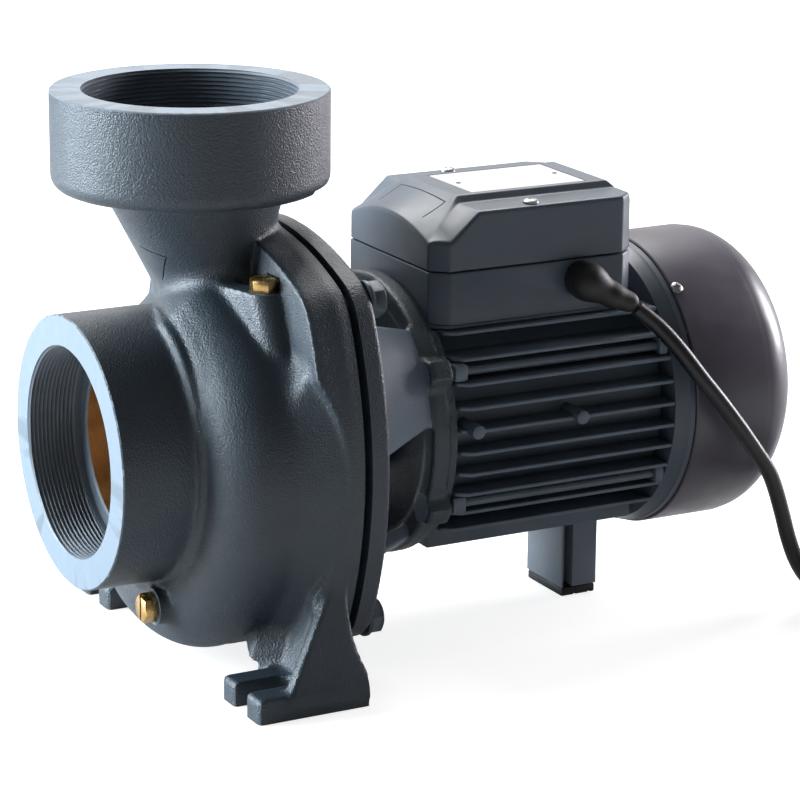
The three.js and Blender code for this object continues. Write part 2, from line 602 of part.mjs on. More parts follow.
function boxBase() {
  const tray = alongZ(boxShape(0), BOX_BOTTOM_Z, BOX_SPLIT_Z[0])
    .subtract(alongZ(boxShape(BOX_WALL), BOX_BOTTOM_Z + BOX_WALL, BOX_SPLIT_Z[0] + 1));
  const saddle = disc(BOX_X[0] - 1, BOX_X[1] + 1, FRAME_R[1] + 0.7, 40);
  const glandHole = alongY(new THREE.Shape().absarc(...GLAND, 7.6, 0, 2 * Math.PI), -56, -45);
  const body = joined([tray, ...screwPosts(BOX_BOTTOM_Z + 1, BOX_SPLIT_Z[0], 5)]);
  return [saddle, glandHole, ...screwPosts(185, 210, 2.2)]
    .reduce((solidBody, cut) => solidBody.subtract(cut), body);
}
piece('terminal_box_base', boxBase(), BOX_PLASTIC);

function boxCover() {
  const [slopeZ, slopeX] = SLOPE;
  const x0 = BOX_X[0];
  const lower = alongZ(boxShape(0), BOX_SPLIT_Z[1], BOX_LEDGE_Z);
  const raised = box(x0 + 4, 258, -TOP_HALF, TOP_HALF, BOX_LEDGE_Z - 1, BOX_TOP_Z);
  const slope = alongY(polygon([[x0 - 5, slopeZ - 3.15], [slopeX, BOX_TOP_Z],
    [slopeX, 250], [x0 - 5, 250]]), -60, 60);
  const hollow = alongY(polygon([[x0 - 5, 200], [x0 - 5, slopeZ - 9], [158.5, 234.6],
    [270, 234.6], [270, 200]]), -60, 60)
    .intersect(alongZ(boxShape(BOX_WALL), 200, 240));
  const gasketSeat = alongZ(boxShape(2.2), 200, BOX_SPLIT_Z[1] + 2);
  const labelSeat = box(LABEL_X[0] - GAP, LABEL_X[1] + GAP, -LABEL_HALF - GAP, LABEL_HALF + GAP,
    BOX_TOP_Z - 0.9, BOX_TOP_Z + 1);
  const shell = joined([lower, raised]).subtract(slope).subtract(hollow).subtract(gasketSeat);
  return [labelSeat, ...screwPosts(200, 250, 2.2)]
    .reduce((body, cut) => body.subtract(cut),
      joined([shell, ...screwPosts(BOX_SPLIT_Z[1] + 2.5, 237, 5)]));
}
piece('terminal_box_cover', boxCover(), BOX_PLASTIC);
const gasketBand = alongZ(boxShape(2.5), BOX_SPLIT_Z[0] + GAP, BOX_SPLIT_Z[1] + 1.7)
  .subtract(alongZ(boxShape(4.2), 200, 215));
piece('terminal_box_gasket', screwPosts(200, 215, 2.5)
  .reduce((body, cut) => body.subtract(cut), gasketBand), GASKET);
[-1, 1].forEach((side, i) => {
  const [x, y] = [BOX_SCREW[0], side * BOX_SCREW[1]];
  const screw = post(x, y, BOX_LEDGE_Z + GAP, BOX_LEDGE_Z + 2.4, 4, 16)
    .add(post(x, y, 188, BOX_LEDGE_Z + 1, 1.8, 10));
  piece(`box_cover_screw_${i + 1}`, screw, STEEL);
});
piece('terminal_block', [156, 166, 176, 186].reduce(
  (body, x) => body.subtract(box(x - 0.8, x + 0.8, -45, -8, 194, 205)),
  box(148, 196, -40, -12, 187, 200)), NYLON);
piece('run_capacitor', rod(150, 245, 12, 208.5, 20, 28), DARK_STEEL);
piece('label_plate', box(LABEL_X[0], LABEL_X[1], -LABEL_HALF, LABEL_HALF,
  BOX_TOP_Z - 0.6, BOX_TOP_Z + 0.2), LABEL);

// ---- cable boot, power cord and plug ----
const CORD_EXIT = [252, -70, 180];
const SLEEVE = 26; // the boot's tapered end, along the cord
const cordRun = [
  CORD_EXIT, [263.5, -75.5, 169.4], [273.1, -82, 157], [282.7, -88, 142.7], [293.8, -92, 128],
  [305.7, -95, 111.9], [316, -95.5, 98], [325.2, -95.5, 85.2], [330.6, -95.5, 73.9],
  [336, -95.5, 58.5], [341, -95.3, 43.5], [347.5, -94.5, 29.5], [356.5, -92.5, 17.5],
];
const cordTail = [[415.5, -56.5, 15.6], [425, -54.2, 16.3], [433, -53.2, 16.8]];

function tube(points, radius, steps) {
  const path = new THREE.CatmullRomCurve3(points.map((p) => new THREE.Vector3(...p)));
  const section = new THREE.Shape();
  section.absarc(0, 0, radius, 0, 2 * Math.PI);
  return solid(new THREE.ExtrudeGeometry(section, {
    extrudePath: path, steps, curveSegments: 5, bevelEnabled: false,
  }));
}

function cableBoot() {
  const collar = alongY(new THREE.Shape().absarc(...GLAND, 7.2, 0, 2 * Math.PI), -55, -47);
  const ballAt = new THREE.Vector3(GLAND[0] + 0.4, -61.5, GLAND[1] - 0.4);
  const bulb = new THREE.SphereGeometry(10.2, 12, 8).translate(ballAt.x, ballAt.y, ballAt.z);
  const flange = alongY(new THREE.Shape().absarc(...GLAND, 10.4, 0, 2 * Math.PI), -60,
    -BOX_HALF - GAP);
  const out = new THREE.Vector3(...cordRun[1]).sub(new THREE.Vector3(...CORD_EXIT)).normalize();
  const end = new THREE.CylinderGeometry(5.6, 7.6, SLEEVE, 16).translate(0, SLEEVE / 2, 0);
  end.applyQuaternion(new THREE.Quaternion().setFromUnitVectors(Y, out));
  const tip = new THREE.Vector3(...CORD_EXIT).addScaledVector(out, -SLEEVE - GAP);
  end.translate(tip.x, tip.y, tip.z);
  return joined([collar, solid(bulb), flange, solid(end)]);
}
piece('cable_boot', cableBoot(), RUBBER);
piece('power_cord', tube(cordRun, CORD_R, 12), RUBBER);
piece('cord_coil', upright(COIL.x, COIL.y, [
  [0.2, COIL.inner + 2], [0.2, COIL.outer - 2], [3, COIL.outer], [COIL.height - 3, COIL.outer],
  [COIL.height, COIL.outer - 3], [COIL.height, COIL.inner + 3], [COIL.height - 3, COIL.inner],
  [3, COIL.inner], [0.2, COIL.inner + 2],
], 30), RUBBER);
piece('cord_tail', tube(cordTail, CORD_R, 2), RUBBER);

function powerPlug() {
  const [x, y, z] = [434, -53, PLUG_R];
  const points = [[x, 0], [x, 6], [x + 20, 8], [x + 26, PLUG_R - 3], [x + 34, PLUG_R - 0.2],
    [x + 56, PLUG_R - 0.2], [x + 56, 0]];
  const body = turned(points, 24, y, z);
  const pins = mirrored((side) => rod(x + 50, x + 75, y + side * 9.5, z, 2.4, 10));
  return joined([body, ...pins]);
}
piece('power_plug', powerPlug(), RUBBER);

// ---- support foot under the motor ----
function motorFoot() {
  const [x0, x1] = SUPPORT_X;
  const groove = (side) => box(x0 + 1.6, x0 + 7, side < 0 ? -30 : 11, side < 0 ? -11 : 30, 0, 60);
  const block = box(x0, x1, -SUPPORT_HALF, SUPPORT_HALF, PAD_THICK + GAP, PAD_BOTTOM_Z - GAP);
  return [...mirrored(groove), post(252.5, 0, 0, 60, 3.4, 12), post(252.5, 0, 0, 12, 6.5, 16)]
    .reduce((body, cut) => body.subtract(cut), block);
}
piece('motor_foot', motorFoot(), BOX_PLASTIC);
piece('foot_pad', box(SUPPORT_X[0] + 0.5, SUPPORT_X[1] - 0.5, 0.5 - SUPPORT_HALF,
  SUPPORT_HALF - 0.5, 0, PAD_THICK), RUBBER);
piece('foot_screw', post(252.5, 0, 6, 11.7, 6, 6).add(post(252.5, 0, 10, 56, 3, 12)), STEEL);

// The origin goes to the floor under the middle of the pump's length.
pump.position.x = -(OUTLET_X - COLLAR_R + COVER_X[1]) / 2;

export default pump;
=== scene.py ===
"""Looks for a close-coupled centrifugal water pump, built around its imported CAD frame.

Shapes are modelled in millimetres with x measured from the front edge of the casing feet,
as in the CAD source, and done() moves each piece into the frame in metres.
"""
import math

import bmesh
import bpy
import numpy as np
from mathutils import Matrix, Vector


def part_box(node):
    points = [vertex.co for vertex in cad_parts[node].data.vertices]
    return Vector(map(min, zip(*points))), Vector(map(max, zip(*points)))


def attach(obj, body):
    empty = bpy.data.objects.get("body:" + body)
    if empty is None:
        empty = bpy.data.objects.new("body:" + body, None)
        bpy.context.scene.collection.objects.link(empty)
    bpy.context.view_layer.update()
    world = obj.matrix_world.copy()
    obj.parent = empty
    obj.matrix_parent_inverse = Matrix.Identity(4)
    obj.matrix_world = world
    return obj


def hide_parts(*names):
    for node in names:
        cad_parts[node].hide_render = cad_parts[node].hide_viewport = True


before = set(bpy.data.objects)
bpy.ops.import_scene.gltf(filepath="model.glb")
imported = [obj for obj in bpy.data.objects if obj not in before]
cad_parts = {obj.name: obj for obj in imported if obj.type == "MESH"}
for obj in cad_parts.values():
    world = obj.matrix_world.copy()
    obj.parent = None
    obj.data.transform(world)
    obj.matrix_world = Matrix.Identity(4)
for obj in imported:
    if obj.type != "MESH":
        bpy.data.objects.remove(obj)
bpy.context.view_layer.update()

import openvdb
from mathutils import Matrix, Vector

MM = 0.001
OUTLET_FRONT_X = -54.1
X0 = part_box("volute_casing")[0].x / MM - OUTLET_FRONT_X
TO_ROW = Matrix.Scale(MM, 4) @ Matrix.Translation((X0, 0, 0))
SHAFT_Z = 120

# ---- camera ----
CAMERA_AT = (-652.4, -1479.3, 602.6)
CAMERA_AZIMUTH = math.radians(28.3)
CAMERA_DOWN = math.radians(15.9)
CAMERA_ROLL = math.radians(0.56)
CAMERA_LENS = 142.54


def make_camera():
    data = bpy.data.cameras.new("camera")
    data.lens = CAMERA_LENS
    data.sensor_width = 36
    data.clip_end = 20
    camera = bpy.data.objects.new("camera", data)
    bpy.context.scene.collection.objects.link(camera)
    level = math.cos(CAMERA_DOWN)
    ahead = Vector((math.sin(CAMERA_AZIMUTH) * level, math.cos(CAMERA_AZIMUTH) * level,
                    -math.sin(CAMERA_DOWN)))
    right = Vector((math.cos(CAMERA_AZIMUTH), -math.sin(CAMERA_AZIMUTH), 0))
    up = right.cross(ahead)
    tilted_right = right * math.cos(CAMERA_ROLL) + up * math.sin(CAMERA_ROLL)
    tilted_up = up * math.cos(CAMERA_ROLL) - right * math.sin(CAMERA_ROLL)
    turn = Matrix((tilted_right, tilted_up, -ahead)).transposed().to_4x4()
    camera.matrix_world = Matrix.Translation(TO_ROW @ Vector(CAMERA_AT)) @ turn
    bpy.context.scene.camera = camera


make_camera()


# ---- meshes in millimetres ----
def new_object(name, mesh):
    piece = bpy.data.objects.new(name, mesh)
    bpy.context.scene.collection.objects.link(piece)
    return piece


def from_points(name, points, faces):
    mesh = bpy.data.meshes.new(name)
    mesh.from_pydata([tuple(p) for p in points], [], faces)
    mesh.validate()
    shape = bmesh.new()
    shape.from_mesh(mesh)
    bmesh.ops.recalc_face_normals(shape, faces=shape.faces)
    if shape.calc_volume(signed=True) < 0:
        bmesh.ops.reverse_faces(shape, faces=shape.faces)
    shape.to_mesh(mesh)
    shape.free()
    return new_object(name, mesh)


def apply_modifiers(piece):
    graph = bpy.context.evaluated_depsgraph_get()
    mesh = bpy.data.meshes.new_from_object(piece.evaluated_get(graph))
    piece.modifiers.clear()
    old = piece.data
    piece.data = mesh
    bpy.data.meshes.remove(old)


def combine(piece, others, operation):
    for other in others:
        step = piece.modifiers.new(operation, "BOOLEAN")
        step.object = other
        step.operation = operation
        step.solver = "MANIFOLD"
    apply_modifiers(piece)
    for other in others:
        bpy.data.objects.remove(other)
    return piece


def cut(piece, *others):
    return combine(piece, others, "DIFFERENCE")


def join(piece, *others):
    return combine(piece, others, "UNION")


def bevel(piece, width, segments=2, degrees=30):
    step = piece.modifiers.new("bevel", "BEVEL")
    step.width = width
    step.segments = segments
    step.limit_method = "ANGLE"
    step.angle_limit = math.radians(degrees)
    step.use_clamp_overlap = True
    apply_modifiers(piece)
    return piece


def rings_to_mesh(name, rings, closed_profile=False):
    """Skins a list of equal rings of points. A ring's points all alike make a pole."""
    count = len(rings[0])
    points = [p for ring in rings for p in ring]
    faces = []
    rows = len(rings) if closed_profile else len(rings) - 1
    for row in range(rows):
        a, b = row * count, (row + 1) % len(rings) * count
        for i in range(count):
            j = (i + 1) % count
            faces.append((a + i, a + j, b + j, b + i))
    if not closed_profile:
        faces.append(tuple(range(count - 1, -1, -1)))
        faces.append(tuple(range(len(points) - count, len(points))))
    return from_points(name, points, faces)


def lathe(name, profile, segments=96, y=0.0, z=SHAFT_Z):
    """Turned about a line along x through (y, z), from (x, radius) pairs. A profile that
    starts on the line is left open there, and any other is a ring's closed outline."""
    angles = np.linspace(0, 2 * math.pi, segments, endpoint=False)
    rings = [[(x, y + r * math.cos(a), z + r * math.sin(a)) for a in angles]
             for x, r in profile]
    return rings_to_mesh(name, rings, profile[0][1] > 0)


def upright(name, x, y, profile, segments=96):
    """The same about an upright line, from (z, radius) pairs."""
    angles = np.linspace(0, 2 * math.pi, segments, endpoint=False)
    rings = [[(x + r * math.cos(a), y + r * math.sin(a), z) for a in angles]
             for z, r in profile]
    return rings_to_mesh(name, rings, profile[0][1] > 0)


def prism(name, outline, axis, low, high):
    """An outline pushed along an axis. It is in (y, z) for x, (x, z) for y and (x, y) for z."""
    def at(u, v, w):
        return {"x": (w, u, v), "y": (u, w, v), "z": (u, v, w)}[axis]
    return rings_to_mesh(name, [[at(u, v, w) for u, v in outline] for w in (low, high)])


def block(name, x0, x1, y0, y1, z0, z1):
    return prism(name, [(x0, y0), (x1, y0), (x1, y1), (x0, y1)], "z", z0, z1)


def regular(u, v, radius, sides, turn=0.0):
    return [(u + radius * math.cos(turn + 2 * math.pi * i / sides),
             v + radius * math.sin(turn + 2 * math.pi * i / sides)) for i in range(sides)]


def rod(name, x0, x1, y, z, radius, sides=48, turn=0.0):
    return prism(name, regular(y, z, radius, sides, turn), "x", x0, x1)


def post(name, x, y, z0, z1, radius, sides=48, turn=0.0):
    return prism(name, regular(x, y, radius, sides, turn), "z", z0, z1)


def turned(piece, degrees, y=0.0, z=SHAFT_Z):
    centre = Vector((0, y, z))
    spin = Matrix.Rotation(math.radians(degrees), 4, "X")
    piece.data.transform(Matrix.Translation(centre) @ spin @ Matrix.Translation(-centre))
    return piece


def done(piece, material, node=None, body="housing", smooth_angle=35):
    """Puts a finished piece into the frame, named after the CAD node that it stands for."""
    piece.data.transform(TO_ROW)
    piece.data.shade_smooth()
    piece.data.set_sharp_from_angle(angle=math.radians(smooth_angle))
    piece.data.materials.clear()
    piece.data.materials.append(material)
    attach(piece, body)
    if node:
        piece.name = f"{node}_visual"
        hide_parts(node)
    return piece


def plain_turned(node, material, profile, segments=96, body="housing"):
    """A finished piece on the shaft's line that stands for one node."""
    return done(lathe("turned", profile, segments), material, node, body)


# ---- castings from distance fields ----
def smooth_union(a, b, blend):
    share = np.clip(0.5 + 0.5 * (b - a) / blend, 0, 1)
    return b + (a - b) * share - blend * share * (1 - share)


def smooth_cut(a, b, blend):
    return -smooth_union(-a, b, blend)


def slab(t, low, high):
    return np.abs(t - (low + high) / 2) - (high - low) / 2


def corner(distances, rounding):
    """The inside of all the distances, whose directions are square to each other, rounded."""
    inner = None
    outside = 0
    for distance in distances:
        grown = distance + rounding
        inner = grown if inner is None else np.maximum(inner, grown)
        outside = outside + np.maximum(grown, 0) ** 2
    return np.minimum(inner, 0) + np.sqrt(outside) - rounding


def cone_between(x, y, z, start, end, start_radius, end_radius):
    """A rod with round ends whose radius changes from one end to the other."""
    a, b = np.array(start, float), np.array(end, float)
    along = b - a
    length2 = along @ along
    px, py, pz = x - a[0], y - a[1], z - a[2]
    t = np.clip((px * along[0] + py * along[1] + pz * along[2]) / length2, 0, 1)
    distance = np.sqrt((px - t * along[0]) ** 2 + (py - t * along[1]) ** 2
                       + (pz - t * along[2]) ** 2)
    return distance - (start_radius + (end_radius - start_radius) * t)


def flange_distance(y, z, half, corner_half, rounding):
    """The square flange with bulged sides and small rounded corners."""
    across, height = np.abs(y), np.abs(z - SHAFT_Z)
    reach = corner_half - rounding
    side = across - half + (half - corner_half) * np.minimum(height / reach, 1.15) ** 2
    top = height - half + (half - corner_half) * np.minimum(across / reach, 1.15) ** 2
    return -smooth_union(-side, -top, rounding)


def from_field(name, field, low, high, step):
    """The zero surface of field(x, y, z), sampled at every step between two corners."""
    axes = [np.arange(a, b + step, step, dtype=np.float32) for a, b in zip(low, high)]
    x = axes[0][:, None, None]
    y = axes[1][None, :, None]
    z = axes[2][None, None, :]
    values = np.broadcast_to(field(x, y, z), [len(a) for a in axes])
    grid = openvdb.FloatGrid(background=20.0)
    grid.copyFromArray(np.array(values, dtype=np.float32))
    points, quads = grid.convertToQuads(isovalue=0.0)
    points = np.array(points, float) * step + np.array(low, float)
    mesh = bpy.data.meshes.new(name)
    mesh.vertices.add(len(points))
    mesh.vertices.foreach_set("co", points.ravel())
    quads = np.array(quads)[:, ::-1]
    mesh.loops.add(quads.size)
    mesh.loops.foreach_set("vertex_index", quads.ravel())
    mesh.polygons.add(len(quads))
    mesh.polygons.foreach_set("loop_start", np.arange(len(quads)) * 4)
    mesh.update(calc_edges=True)
    mesh.validate()
    shape = bmesh.new()
    shape.from_mesh(mesh)
    if shape.calc_volume(signed=True) < 0:
        bmesh.ops.reverse_faces(shape, faces=shape.faces)
    shape.to_mesh(mesh)
    shape.free()
    return new_object(name, mesh)


# ---- materials ----
def surface(name, color, roughness, metallic=0.0, mottle=0.12, mottle_scale=30.0, grain=(),
            wear=None, rough_spread=0.06, coat=0.0, stretch=(1, 1, 1), specular=0.5):
    """A finish with uneven colour and gloss, one or more bumps (scale per metre, depth in
    millimetres) and, with wear, a paler colour where the surface bends outward."""
    material = bpy.data.materials.new(name)
    material.use_nodes = True
    tree = material.node_tree
    tree.nodes.clear()

    def node(kind, **settings):
        made = tree.nodes.new(kind)
        for key, value in settings.items():
            setattr(made, key, value)
        return made

    def noise(scale, detail):
        made = node("ShaderNodeTexNoise")
        made.inputs["Scale"].default_value = scale
        made.inputs["Detail"].default_value = detail
        tree.links.new(stretched.outputs["Vector"], made.inputs["Vector"])
        return made.outputs["Fac"]

    def mapped(value, low, high, to_low, to_high):
        made = node("ShaderNodeMapRange")
        for key, number in (("From Min", low), ("From Max", high), ("To Min", to_low),
                            ("To Max", to_high)):
            made.inputs[key].default_value = number
        tree.links.new(value, made.inputs["Value"])
        return made.outputs["Result"]

    def mixed(factor, first, second):
        made = node("ShaderNodeMix", data_type="RGBA")
        for socket, value in ((6, first), (7, second)):
            if isinstance(value, tuple):
                made.inputs[socket].default_value = (*value, 1)
            else:
                tree.links.new(value, made.inputs[socket])
        tree.links.new(factor, made.inputs[0])
        return made.outputs[2]

    place = node("ShaderNodeTexCoord")
    stretched = node("ShaderNodeMapping")
    stretched.inputs["Scale"].default_value = stretch
    tree.links.new(place.outputs["Object"], stretched.inputs["Vector"])
    shader = node("ShaderNodeBsdfPrincipled")
    shader.inputs["Metallic"].default_value = metallic
    shader.inputs["Coat Weight"].default_value = coat
    shader.inputs["Coat Roughness"].default_value = 0.25
    shader.inputs["Specular IOR Level"].default_value = specular
    dark = tuple(c * (1 - mottle) for c in color)
    light = tuple(min(1, c * (1 + mottle)) for c in color)
    tint = mixed(mapped(noise(mottle_scale, 4), 0.35, 0.65, 0, 1), dark, light)
    if wear:
        bend = node("ShaderNodeNewGeometry").outputs["Pointiness"]
        tint = mixed(mapped(bend, 0.53, 0.62, 0, 0.6), tint, wear)
    tree.links.new(tint, shader.inputs["Base Color"])
    gloss = mapped(noise(mottle_scale * 3, 3), 0.3, 0.7, roughness - rough_spread,
                   roughness + rough_spread)
    tree.links.new(gloss, shader.inputs["Roughness"])
    normal = None
    for scale, depth in grain:
        bump = node("ShaderNodeBump")
        bump.inputs["Distance"].default_value = depth * MM
        tree.links.new(noise(scale, 2), bump.inputs["Height"])
        if normal:
            tree.links.new(normal, bump.inputs["Normal"])
        normal = bump.outputs["Normal"]
    if normal:
        tree.links.new(normal, shader.inputs["Normal"])
    output = node("ShaderNodeOutputMaterial")
    tree.links.new(shader.outputs["BSDF"], output.inputs["Surface"])
    return material


CASTING = surface("cast_paint", (0.026, 0.038, 0.050), 0.43, mottle=0.10, mottle_scale=25,
                  grain=((330, 0.15), (1050, 0.5)), wear=(0.07, 0.09, 0.11), specular=0.7)
MACHINED = surface("machined_paint", (0.105, 0.126, 0.15), 0.5, mottle=0.06,
                   mottle_scale=40, grain=((900, 0.04),), wear=(0.22, 0.28, 0.34))
# The lantern cone's lighter blue is partly its own paint and partly painted light: the light it
# catches from the right and off the floor.
BRACKET = surface("bracket_paint", (0.135, 0.17, 0.21), 0.42, mottle=0.06, mottle_scale=30,
                  grain=((700, 0.12),), wear=(0.24, 0.28, 0.33))
FRAME = surface("frame_paint", (0.085, 0.11, 0.138), 0.38, mottle=0.12, mottle_scale=40,
                grain=((350, 0.12),), wear=(0.12, 0.16, 0.2))
BOX = surface("box_plastic", (0.058, 0.075, 0.098), 0.38, mottle=0.04, mottle_scale=20,
              grain=((2500, 0.02),), wear=(0.1, 0.125, 0.16))
COVER = surface("cover_paint", (0.066, 0.060, 0.078), 0.35, mottle=0.06, mottle_scale=20,
                grain=((1800, 0.02),), wear=(0.07, 0.062, 0.075))
FOOT = surface("foot_paint", (0.15, 0.18, 0.22), 0.42, mottle=0.06, grain=((900, 0.05),),
               wear=(0.2, 0.24, 0.28))
RUBBER = surface("rubber", (0.012, 0.011, 0.012), 0.55, mottle=0.2, grain=((1500, 0.05),))
CORD = surface("cord_rubber", (0.011, 0.010, 0.011), 0.38, mottle=0.2, mottle_scale=60,
               grain=((1200, 0.05),))
BRASS = surface("brass", (0.68, 0.43, 0.17), 0.28, metallic=1, mottle=0.12, mottle_scale=120,
                grain=((1500, 0.03),), rough_spread=0.08)
CAST_BRASS = surface("cast_brass", (0.45, 0.25, 0.10), 0.38, metallic=0.6, mottle=0.2,
                     mottle_scale=80, grain=((600, 0.12),), rough_spread=0.1)
STEEL = surface("steel", (0.52, 0.53, 0.54), 0.28, metallic=1, mottle=0.08, mottle_scale=150,
                grain=((1800, 0.015),), stretch=(0.15, 1, 1), rough_spread=0.08)
ZINC = surface("zinc_screw", (0.42, 0.43, 0.42), 0.36, metallic=1, mottle=0.1,
               mottle_scale=300, grain=((2500, 0.02),))
DARK_STEEL = surface("dark_steel", (0.045, 0.062, 0.08), 0.42, metallic=0.3, mottle=0.2,
                     mottle_scale=150, grain=((900, 0.08),), wear=(0.15, 0.18, 0.2))
COPPER = surface("copper_wire", (0.5, 0.2, 0.09), 0.35, metallic=1, mottle=0.25,
                 mottle_scale=200, grain=((900, 0.3),), stretch=(1, 0.2, 0.2))
GASKET = surface("gasket", (0.015, 0.016, 0.018), 0.8, mottle=0.3, mottle_scale=200,
                 grain=((1500, 0.1),))
NYLON = surface("nylon", (0.62, 0.6, 0.55), 0.5, mottle=0.05, grain=((1500, 0.03),))
LABEL = surface("label", (0.66, 0.59, 0.585), 0.35, metallic=0.2, mottle=0.05,
                mottle_scale=60, grain=((2500, 0.01),), stretch=(0.1, 1, 1))
CERAMIC = surface("ceramic", (0.62, 0.58, 0.52), 0.25, mottle=0.06, grain=((1800, 0.01),))


def repaint(piece, material, test):
    """Gives another material to the faces whose centres, in mm, and normals pass the test."""
    mesh = piece.data
    count = len(mesh.polygons)
    centres = np.zeros(count * 3)
    normals = np.zeros(count * 3)
    mesh.polygons.foreach_get("center", centres)
    mesh.polygons.foreach_get("normal", normals)
    centres = centres.reshape(-1, 3) / MM - [X0, 0, 0]
    mask = test(*centres.T, normals.reshape(-1, 3))
    index = np.zeros(count, np.int32)
    mesh.polygons.foreach_get("material_index", index)
    index[mask] = len(mesh.materials)
    mesh.materials.append(material)
    mesh.polygons.foreach_set("material_index", index)
    mesh.update()


# ---- power cord and plug ----
CORD_R = 4.5
CORD_EXIT = (252, -70, 180)
CORD_DOWN = [
    CORD_EXIT, (263.5, -75.5, 169.4), (273.1, -82, 157), (282.7, -88, 142.7), (293.8, -92, 128),
    (305.7, -95, 111.9), (316, -95.5, 98), (325.2, -95.5, 85.2), (330.6, -95.5, 73.9),
    (336, -95.5, 58.5), (341, -95.3, 43.5), (347.5, -94.5, 29.5), (356.5, -92.5, 17.5),
    (368, -88, 9), (379.5, -81, 5.4)]
CORD_TO_PLUG = [
    (377, -83, 14.6), (386, -72.5, 14.8), (399, -63, 15), (415.5, -56.5, 15.6),
    (425, -54.2, 16.3), (433.6, -53.2, 16.9)]
COIL_AT = (418, -121)
COIL_R = 54.5
COIL_TURNS = 3.917
COIL_START = 120
COIL_POINTS_PER_TURN = 16
PLUG_AT = (434, -53, 17)


def coil_route():
    """Two turns inward on the floor, then two outward on top of them."""
    count = int(COIL_TURNS * COIL_POINTS_PER_TURN)
    route = []
    for i in range(count + 1):
        turns = COIL_TURNS * i / count
        radius = COIL_R - 2 * CORD_R * min(turns, COIL_TURNS - turns)
        climb = min(1, max(0, (turns - COIL_TURNS / 2) / 0.26 + 0.5))
        height = CORD_R + 0.2 + 2 * CORD_R * climb * climb * (3 - 2 * climb)
        a = math.radians(COIL_START - 360 * turns)
        route.append((COIL_AT[0] + radius * math.cos(a), COIL_AT[1] + radius * math.sin(a),
                      height))
    return route


def smooth_line(points, steps):
    """A Catmull-Rom curve through the points."""
    ends = [2 * Vector(points[0]) - Vector(points[1]), *map(Vector, points),
            2 * Vector(points[-1]) - Vector(points[-2])]
    line = []
    for a, b, c, d in zip(ends, ends[1:], ends[2:], ends[3:]):
        for k in range(steps):
            t = k / steps
            line.append(0.5 * (2 * b + (c - a) * t + (2 * a - 5 * b + 4 * c - d) * t ** 2
                               + (3 * b - a - 3 * c + d) * t ** 3))
    line.append(Vector(points[-1]))
    return line


def power_cord():
    line = smooth_line([*CORD_DOWN, *coil_route(), *CORD_TO_PLUG], 6)
    curve = bpy.data.curves.new("power_cord_visual", "CURVE")
    curve.dimensions = "3D"
    curve.bevel_depth = CORD_R * MM
    curve.bevel_resolution = 6
    curve.use_fill_caps = True
    spline = curve.splines.new("POLY")
    spline.points.add(len(line) - 1)
    for point, at in zip(spline.points, line):
        point.co = (*(TO_ROW @ at), 1)
    curve.materials.append(CORD)
    piece = bpy.data.objects.new("power_cord_visual", curve)
    bpy.context.scene.collection.objects.link(piece)
    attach(piece, "housing")
    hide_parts("power_cord", "cord_coil", "cord_tail")
    return piece


def power_plug():
    """A round moulded plug with a ribbed grip, a flat waist and two pins."""
    x, y, z = PLUG_AT
    grip = [(x + 9 + 2.2 * i + d, 8.2 + 1.1 * i + r) for i in range(5)
            for d, r in ((0, 0.7), (0.9, 0.9), (1.2, 0), (1.9, 0.1))]
    body = lathe("power_plug_visual", [
        (x, 0), (x, 5.6), (x + 1, 6.2), (x + 8, 7.2), *grip, (x + 24, 13.4), (x + 29, 15.6),
        (x + 34, 16.5), (x + 54.8, 16.8), (x + 56, 15.8), (x + 56, 0)], 96, y, z)
    pins = []
    for side in (-1, 1):
        pin = lathe("pin", [(x + 50, 0), (x + 50, 2.4), (x + 73.6, 2.4), (x + 74.7, 1.7),
                            (x + 75, 0)], 32, y + side * 9.5, z)
        pins.append(pin)
    join(body, *pins)
    done(body, RUBBER, "power_plug")
    repaint(body, STEEL, lambda x0, y0, z0, n: x0 > x + 56.05)
    return body


power_cord()
power_plug()


# ---- pump casing ----
SUCTION_X = -52.8
COLLAR_R = 73
THREAD_R = 56
THREAD_PITCH = 2.309
THREAD_HEIGHT = 1.45
THREAD_DEPTH = 27
SUCTION_THREAD_END = SUCTION_X + THREAD_DEPTH
PORT_R = 47.5
OUTLET_X = 18.9
OUTLET_Z = 308
DRUM_R = 109.5
TUBE_PATH_R = 78
TUBE_R = 31.5
DRUM_Y = 4
DRUM_Z = 115
CASING_FLANGE = (40, 63)
BRACKET_FLANGE = (67.5, 78)
FLANGE_HALF = 114
FLANGE_CORNER = 94
BOLT_PLACES = [(side * 81, SHAFT_Z + level * 86) for side in (-1, 1) for level in (1, -1)]
BOLT_R = 5
VENT = (35, -55, 210)
DRAIN = (-20, -33, 40)
PLUG_HOLE_R = 4.3
SLOT_Y = 97.3
CAST_STEP = 1.5


def volute_turn(y, z):
    """How much the volute is drawn in, 0 to 1, and where the middle of its tube is, by the
    angle from the near side upward. It starts just past the discharge."""
    around = np.arctan2(z - DRUM_Z, DRUM_Y - y)
    around = np.where(around < 0, around + 2 * math.pi, around)
    pinch = np.interp(around, [0, 1.2, 1.75, 2.4, 4.4, 2 * math.pi], [0, 0, 1, 1, 0, 0])
    middle = np.interp(around, [0, 1.2, 1.75, 2.4, 4.4, 5.1, 5.7, 2 * math.pi],
                       [22, 22, 31, 31, 15, 15, 21, 22])
    return pinch, middle


